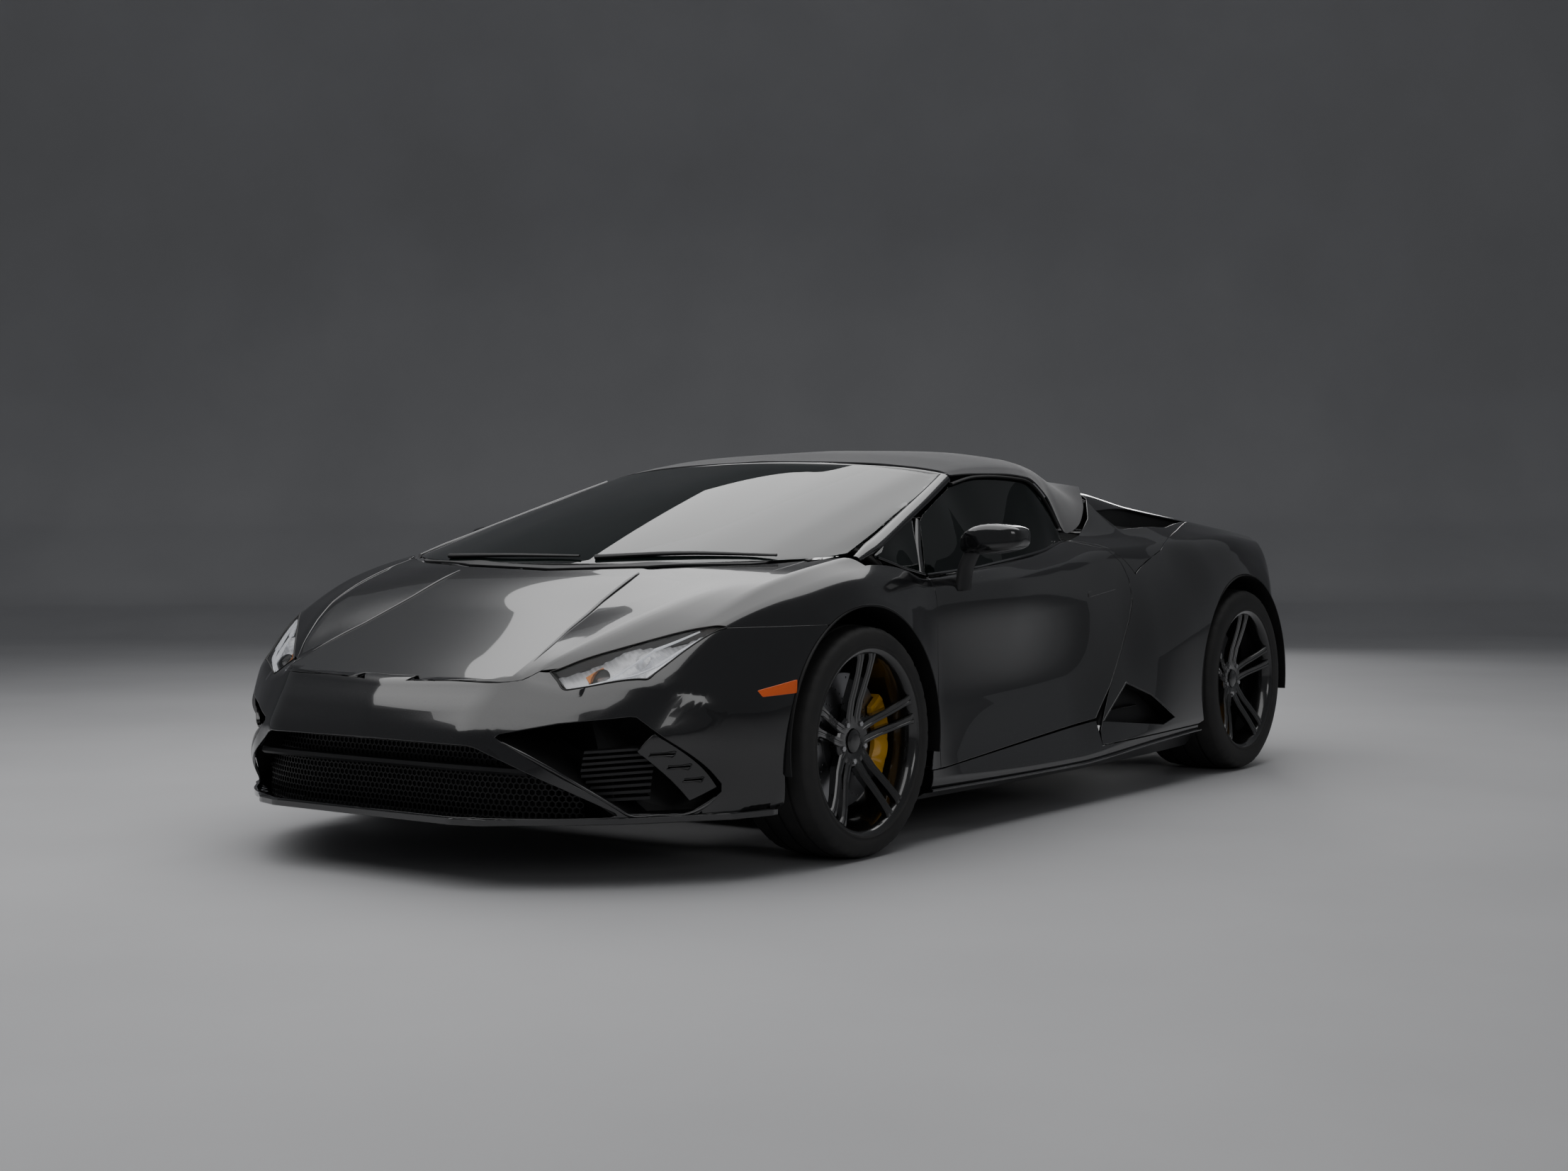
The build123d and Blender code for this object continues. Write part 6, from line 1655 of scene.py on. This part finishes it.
def cushion(name, spine, half, thick, bolster, channels, x, rows=44, ring=40):
    """A crowned, closed pad along a spine of (y, z) points, whose front faces up and forward."""
    path = curve_through([(0, y, z) for y, z in spine], rows)
    tangent = unit(np.gradient(path, axis=0))
    normal = np.column_stack([np.zeros(rows), -tangent[:, 2], tangent[:, 1]])
    out = []
    for k in range(rows):
        t = k / (rows - 1)
        ends = max(1e-3, 1 - abs(2 * t - 1) ** 7) ** 0.5
        wide = float(np.interp(t, np.linspace(0, 1, len(half)), half)) * (0.86 + 0.14 * ends)
        for j in range(ring):
            a = 2 * math.pi * j / ring
            c, s = math.cos(a), math.sin(a)
            u = math.copysign(abs(c) ** 0.62, c)
            up = math.copysign(abs(s) ** 0.62, s) * thick / 2 * ends
            if s > 0:
                up += ends * bolster * min(1.0, abs(u) ** 4) * (1 - 0.35 * abs(c) ** 8) * min(1, s * 4)
                middle = max(0.0, 1 - (abs(u) / 0.58) ** 6)
                up += ends * middle * (5 - 7 * max(0.0, 1 - abs((t * channels) % 1 - 0.5) * 14))
                up -= ends * 7 * max(0.0, 1 - abs(abs(u) - 0.58) * 22)
            out.append(path[k] + (x + u * wide, 0, 0) + normal[k] * up)
    return smooth(subdivided(slab(name, np.reshape(out, (rows, ring, 3))), 1), 60)


BASE = [(-310, 238), (-240, 262), (-60, 248), (120, 230), (196, 226)]
BACK = [(196, 262), (232, 390), (284, 560), (330, 700), (352, 770)]
HEAD = [(352, 772), (368, 820), (380, 862)]
for side, word in SIDES:
    for k, (part, spine, half, thick, bolster, channels) in enumerate((
            ("base", BASE, (178, 205, 210, 205, 186), 88, 34, 4),
            ("back", BACK, (190, 200, 198, 172, 120), 74, 44, 6),
            ("head", HEAD, (104, 98, 82), 66, 4, 1))):
        pad = cushion(f"seat_{word}_{part}", spine, half, thick, bolster, channels, side * 370.0)
        finish(pad, black_hide, "car", "hide", *(["seats"] if side > 0 and k == 0 else []))
    finish(cushion(f"seat_{word}_shell", [(y + 34, z - 14) for y, z in BACK + HEAD[1:]],
                   (206, 214, 212, 186, 140, 96), 34, 16, 1, side * 370.0), black_paint, "car", "trim")
    finish(cushion(f"seat_{word}_pan", [(y, z - 52) for y, z in BASE], (184, 212, 218, 214, 196), 44, 10, 1,
                   side * 370.0), trim_plastic, "car", "trim")
    for k, offset in enumerate((-120, 120)):
        seam_path = [(side * 370 + offset * f, y - 45 * 0.98, z + 12)
                     for (y, z), f in zip(BACK[1:], (1, 1, 0.86, 0.7))]
        finish(tube(f"seat_{word}_seam_{k}", seam_path, 1.6, count=40, sides=6, out=(1, 0, 0)), stitch_thread,
               "car", "hide")
    for k, x in enumerate((side * 250, side * 490)):
        outline = [(x + a, b) for a, b in ((-14, 148), (14, 148), (14, 174), (8, 182), (-8, 182), (-14, 174))]
        finish(bevelled(slab(f"seat_{word}_rail_{k}", run_along(1, outline, (-300, 240))), 2), trim_plastic,
               "car", "trim")

# ------------------------------------------------------------------ dashboard and cabin trim
# A hide-covered fascia with a dark instrument display behind the wheel, hexagon vents, and a raised console
# over the tunnel with a tall central screen. Door cards with an armrest and pull clip to each door.
display_glass = glass("display_glass", (0.004, 0.005, 0.006, 1), 1.0)
FASCIA = ((-862, 600), (-864, 740), (-850, 778), (-800, 790), (-700, 790), (-640, 782),
          (-610, 762), (-604, 738), (-622, 716), (-640, 690), (-632, 650), (-612, 622),
          (-616, 596), (-660, 574), (-800, 570))
sections = []
for x in np.linspace(-694, 694, 57):
    hood_over = 26 * math.exp(-((x - 370) / 150) ** 4) - 4
    ends = abs(x / 694) ** 8
    sections.append([(x, y, z + (hood_over if z > 700 else 0) - 20 * ends) for y, z in FASCIA])
fascia = slab("dashboard_fascia", sections)
finish(smooth(subdivided(fascia, 1), 50), black_hide, "car", "soft_trim", "dashboard")
SHELF = [(-968, 700), (-968, 790), (-858, 782), (-858, 700)]
INSTRUMENTS = [(-634, 698), (-612, 742), (-606, 738), (-628, 694)]
TALL_SCREEN = [(-572, 576), (-480, 486), (-474, 491), (-566, 581)]
GUARD = [(-26, 352), (-22, 372), (22, 372), (26, 352)]
for name, axis, outline, places, edge, material, slot in (
        ("dashboard_shelf", 0, SHELF, np.linspace(-524, 524, 12), 6, black_hide, "soft_trim"),
        ("instrument_display", 0, INSTRUMENTS, (258, 482), 2, display_glass, "trim"),
        ("centre_screen", 0, TALL_SCREEN, (-58, 58), 1.5, display_glass, "trim"),
        ("start_guard", 1, GUARD, (-300, -230), 3, trim_plastic, "trim")):
    finish(bevelled(slab(name, run_along(axis, outline, places)), edge), material, "car", slot)
for k, x in enumerate((-560, -120, 120, 590)):
    finish(bevelled(slab(f"air_vent_{k}",
                         [[(x + r * 44 * math.cos(math.radians(60 * j)), -616 - d,
                            660 + r * 27 * math.sin(math.radians(60 * j))) for j in range(6)]
                          for r, d in ((1, 20), (1, -4), (0.84, -7), (0.78, 10))]), 1.5),
           trim_plastic, "car", "trim")
CONSOLE = [(-620, 600, 1), (-560, 560, 1), (-460, 460, 0.98), (-360, 392, 0.95), (-200, 352, 0.92),
           (0, 344, 0.9), (180, 340, 0.9), (330, 340, 0.9)]
console = slab("centre_console", [
    [(x * w, y, z)
     for x, z in ((-84, 290), (-84, top - 18), (-66, top), (66, top), (84, top - 18), (84, 290))]
    for y, top, w in CONSOLE])
finish(smooth(bevelled(console, 5), 35), trim_plastic, "car", "trim")
for side, word in SIDES:
    rows = []
    for y in np.linspace(-800, 230, 26):
        low = 330 + 30 * abs((y + 285) / 515) ** 6
        top = 764 + 40 * (y + 800) / 1030 - 20 * abs((y + 285) / 515) ** 8
        arm = 34 * math.exp(-((y + 180) / 300) ** 6)
        card = ((850, low), (838, low + 8), (834, 470), (834 - arm, 500), (830 - arm, 540), (836, 566),
                (846, 700), (856, top - 12), (866, top))
        rows.append([(side * x, y, z) for x, z in card])
    finish(smooth(subdivided(slab(f"door_card_{word}", rows), 1), 45), black_hide,
           f"door_{word}", "soft_trim")
    finish(tube(f"door_pull_{word}",
                [(side * 812, -420, 560), (side * 806, -390, 584), (side * 806, -300, 590),
                 (side * 812, -270, 566)], 9, 6, count=24, sides=10, out=(1, 0, 0)), trim_plastic,
           f"door_{word}", "trim")
MIRROR_SHELL = [(-470, 1030), (-476, 1078), (-466, 1082), (-448, 1078), (-444, 1034), (-452, 1028)]
rear_view = slab("interior_mirror", run_along(0, MIRROR_SHELL, (-112, -108, -60, 0, 60, 108, 112)))
smooth(subdivided(rear_view, 1), 50)
finish(rear_view, trim_plastic, "car", "trim")
finish(tube("interior_mirror_stem", [(0, -462, 1070), (0, -480, 1092), (0, -500, 1106)], 9, 7, count=10),
       trim_plastic, "car", "trim")

# ------------------------------------------------------------------ steering wheel
# A flat-bottomed ring in stitched hide on three spokes with a padded hub, on a splined column.
HUB = np.array([370.0, -475.0, 700.0])
HUB_AXIS = np.array([0, 0.93, 0.36]) / math.hypot(0.93, 0.36)
HUB_UP = np.array([0, -0.36, 0.93]) / math.hypot(0.93, 0.36)


def at_hub(x, up, out=0.0):
    return tuple(HUB + (x, 0, 0) + HUB_UP * up + HUB_AXIS * out)


ring_path = []
for k in range(48):
    a = 2 * math.pi * k / 48
    ring_path.append(at_hub(168 * math.cos(a), max(168 * math.sin(a), -138 - 4 * math.cos(3 * a))))
finish(tube("steering_ring", ring_path, 14, 13, count=96, sides=16, closed=True, out=tuple(HUB_AXIS)),
       black_hide, "steering_wheel", "hide", "steering_wheel")
hub_pad = slab("steering_pad",
               [[at_hub(r * 62 * math.cos(math.radians(60 * j + 30)),
                        r * 52 * math.sin(math.radians(60 * j + 30)), d) for j in range(6)]
                for r, d in ((0.9, -34), (1, -20), (1, -2), (0.86, 6))])
finish(smooth(bevelled(hub_pad, 7, 20, 3), 40), black_hide, "steering_wheel", "hide")
for k, (x, up, bend) in enumerate(((-156, -4, 14), (156, -4, 14), (0, -134, -4))):
    finish(tube(f"steering_spoke_{k}",
                [at_hub(x * 0.25, up * 0.3 + bend, -12), at_hub(x * 0.7, up * 0.7 + bend * 0.5, -8),
                 at_hub(x, up, 0)], 15 if k < 2 else 11, 7, count=16, sides=12, out=tuple(HUB_AXIS)),
           trim_plastic, "steering_wheel", "trim")
column = tube("steering_column", [at_hub(0, 0, -24), at_hub(0, 0, -60), at_hub(0, 0, -92)], 30, 30, count=8,
              sides=20, out=(1, 0, 0))
finish(column, trim_plastic, "steering_wheel", "trim")

# ------------------------------------------------------------------ tail
# Slim red lamps with a forked guide, a mesh panel between them, two round exhausts high in the middle, and a
# finned diffuser of moulded composite underneath.
lamp_red = lacquer("tail_lamp_red", (0.32, 0.006, 0.006, 1), (0.42, 0.01, 0.008, 1), 0.14)
TAIL_LAMP = [(300, 730), (500, 752), (520, 736), (470, 690), (300, 706)]
finish(bevelled(slab("tail_lamp", run_along(1, TAIL_LAMP, (2134, 2166)), True), 3, 20, 3), lamp_red, "car",
       "red_lamp", "tail_lamps")
for k, line in enumerate(([(318, 2167, 719), (400, 2167, 722), (460, 2167, 730), (498, 2167, 741)],
                          [(400, 2167, 718), (450, 2167, 706), (472, 2167, 700)])):
    guide = tube(f"tail_lamp_guide_{k}", line, 4, 3, count=24, sides=8, mirror=True)
    finish(guide, light_guide, "car", "red_lamp")
finish(mesh_plate("rear_mesh",
                  [(-540, 400), (540, 400), (600, 520), (560, 690), (480, 740), (-480, 740), (-560, 690),
                   (-600, 520)], 2120, pitch=22, wall=2.6, depth=8, rounds=[(-290, 560, 62), (290, 560, 62)]),
       duct_plastic, "car", "trim", "rear_grille")
PIPE = [(0, 54), (0, 58), (150, 60), (157, 61.5), (160, 58.5), (156, 56), (100, 54), (6, 52)]
BAFFLE = [(30, 0.01), (34, 40), (34, 53), (28, 53), (24, 0.01)]
for side, word in SIDES:
    for name, profile, count, material in (("exhaust", PIPE, 64, steel),
                                           ("exhaust_baffle", BAFFLE, 32, duct_plastic)):
        verts, faces = revolved(profile, 0, 0, 0, count)
        verts = [(STAND - y + side * 290, x + 2050 + STAND, z + 560) for x, y, z in verts]
        finish(smooth(turned_outward(new_object(f"{name}_{word}", np.array(verts) * MM, faces)), 35),
               material, "car", "steel", *(["exhaust_tips"] if (side, name) == (1, "exhaust") else []))
tray_rows = []
for x in np.linspace(-556, 556, 23):
    end = 2184 - 0.00037 * x * x
    rise = (end - 1716) / 6.03
    tray_rows.append([(x, 1716, 160), (x, end, 160 + rise), (x, end, 168 + rise), (x, 1716, 168)])
finish(bevelled(slab("diffuser_tray", tray_rows), 2), trim_plastic, "car", "trim", "rear_diffuser")
for k, (x, end) in enumerate(((-480, 2098), (-240, 2158), (0, 2178), (240, 2158), (480, 2098))):
    outline = [(1764, 132), (end - 28, 150), (end, 166), (end, 236), (1764, 170)]
    finish(bevelled(slab(f"diffuser_fin_{k}", run_along(0, outline, (x - 3.6, x + 3.6))), 1.5), trim_plastic,
           "car", "trim")

# ------------------------------------------------------------------ structure and running gear
# The carpeted tub, the alloy rails, the cast engine and uprights, the forged arms and shafts, the moulded
# ducts and arch liners, and the rear window keep their shapes and take the surface each is made with.
def cast_alloy(name, colour, roughness):
    """Sand-cast or rolled metal with an uneven skin."""
    m = Material(name)
    skin = m.noise(m.coords, 60, 8)
    stain = m.ramp(m.noise(m.coords, 4, 5), 0.35, 0.7)
    dark = (*(0.6 * c for c in colour[:3]), 1)
    return m.shaded(Base_Color=m.mix(stain, colour, dark), Metallic=0.9, Normal=m.bump(skin, 0.25, 0.0006),
                    Roughness=m.ramp(skin, 0.3, 0.7, roughness - 0.08, roughness + 0.1))


rail_metal = cast_alloy("rail_alloy", (0.24, 0.24, 0.25, 1), 0.45)
engine_metal = cast_alloy("engine_castings", (0.2, 0.2, 0.21, 1), 0.5)
arm_metal = cast_alloy("forged_steel_arms", (0.09, 0.09, 0.095, 1), 0.5)
carpet = grained("cabin_carpet", (0.012, 0.012, 0.012, 1), (0.02, 0.019, 0.018, 1), 260, 0.9, 0.002)
rear_glass = glass("rear_window_glass", (0.006, 0.010, 0.009, 1), 0.4)
KEPT = {"floor_tub": carpet, "frame_rails": rail_metal, "suspension_arms": arm_metal,
        "drive_shafts": arm_metal, "engine": engine_metal, "wheel_liners": duct_plastic,
        "air_ducts": duct_plastic, "rear_window": rear_glass, "rear_knuckles": engine_metal,
        "knuckle_front_left": engine_metal, "knuckle_front_right": engine_metal}
for node, material in KEPT.items():
    for material_slot in bpy.data.objects[node].material_slots:
        material_slot.material = material

# ------------------------------------------------------------------ rear side lamps
# A small red prism let into each rear wing behind the wheel, clipped in from inside so that it stands
# hardly proud of the paint.
side_lamp_ring = ring_in(from_side, [(1752, 505), (1810, 516), (1806, 534), (1756, 524)])
for side, word in SIDES:
    prism = panel(f"rear_side_lamp_{word}", skin_points, on_one_side(side_lamp_ring, side),
                  [side * s for s in np.arange(4, 9, 0.05)][::side], v_step=14, depth=5, edge=1.3,
                  sink=-1.5, gap=0)
    finish(prism, lamp_red, "car", "red_lamp")

# ------------------------------------------------------------------ bonnet blades
# Two crisp pressed lines run from behind the lamps to the foot of the screen, and a rounded step inside
# each carries the raised middle of the bonnet.
BLADE_LINE = [(426, -2060), (410, -1960), (395, -1895), (383, -1800), (371, -1725),
              (362, -1625), (352, -1540)]
ridge = points_at(skin_points, from_plan(BLADE_LINE))
for side, word in SIDES:
    finish(tube(f"bonnet_blade_{word}", ridge * (side, 1, 1) + (0, 0, 0.4), 5, 2.6, count=60, sides=10,
                taper=[(0, 0.1), (0.12, 0.8), (0.9, 1), (1, 0.4)]), black_paint, "hood", "paint")

# ------------------------------------------------------------------ panel edges and intake blades
# The rolled edges of the door's rear end and of the side intake stand a hair proud, and a thin
# blade crosses each side intake, clipped in at its ends.
door_edge = points_at(skin_points, from_side([(y - 3.5, z + 1.5) for y, z in DOOR_REAR[:8]]))
intake_edge = points_at(skin_points, from_side([(220, 270), (402, 391), (560, 341), (708, 266)]))
for side, word in SIDES:
    bead = tube(f"door_edge_{word}", door_edge * (side, 1, 1) - (side * 0.4, 0, 0), 1.5, 1.5, count=90,
                sides=8, out=(1, 0, 0))
    finish(bead, black_paint, f"door_{word}", "paint")
bead = tube("intake_edge", intake_edge, 1.8, 1.8, count=90, sides=8, out=(1, 0, 0), mirror=True)
finish(bead, black_paint, "car", "paint")
finish(bevelled(slab("intake_blade",
                     [[(x + a, y, z + b) for a, b in ((0, 0), (-6, 4), (-70, 4), (-70, -4), (-6, -4))]
                      for x, y, z in ((893, 262, 292), (896, 340, 296), (897, 430, 299), (896, 540, 300))],
                     True), 1.5), black_paint, "car", "trim")

# ------------------------------------------------------------------ front boot
# A carpeted well between the front wheels with a moulded surround that seals against the bonnet, clipped
# to the tub's front rails.
WELL = [(-400, -1300), (400, -1300), (430, -1330), (430, -1850), (380, -1980), (-380, -1980), (-430, -1850),
        (-430, -1330)]


def well_ring(grow, height=None):
    ring = []
    for x, y in WELL:
        px, py = x * (1 + grow / 430), y + math.copysign(grow, y + 1640)
        z = points_at(skin_points, from_plan([(px, py)]))[0, 2] - 46
        ring.append((px, py, min(z, 700) if height is None else height))
    return ring


finish(bevelled(slab("front_boot_well",
                     [well_ring(-34, 306), well_ring(0), well_ring(5), well_ring(-29, 300)]), 3), carpet,
       "car", "soft_trim")
surround_hole = from_plan([(1, -1975), (372, -1975), (424, -1850), (424, -1580), (1, -1580)])
finish(panel("front_boot_surround", skin_points, ring_of(hood_half),
             mirrored_steps(steps_between(0, 4, section.corners, 5)), depth=4, edge=1, gap=6, sink=44,
             holes=[ring_of(surround_hole)]), trim_plastic, "car", "trim")
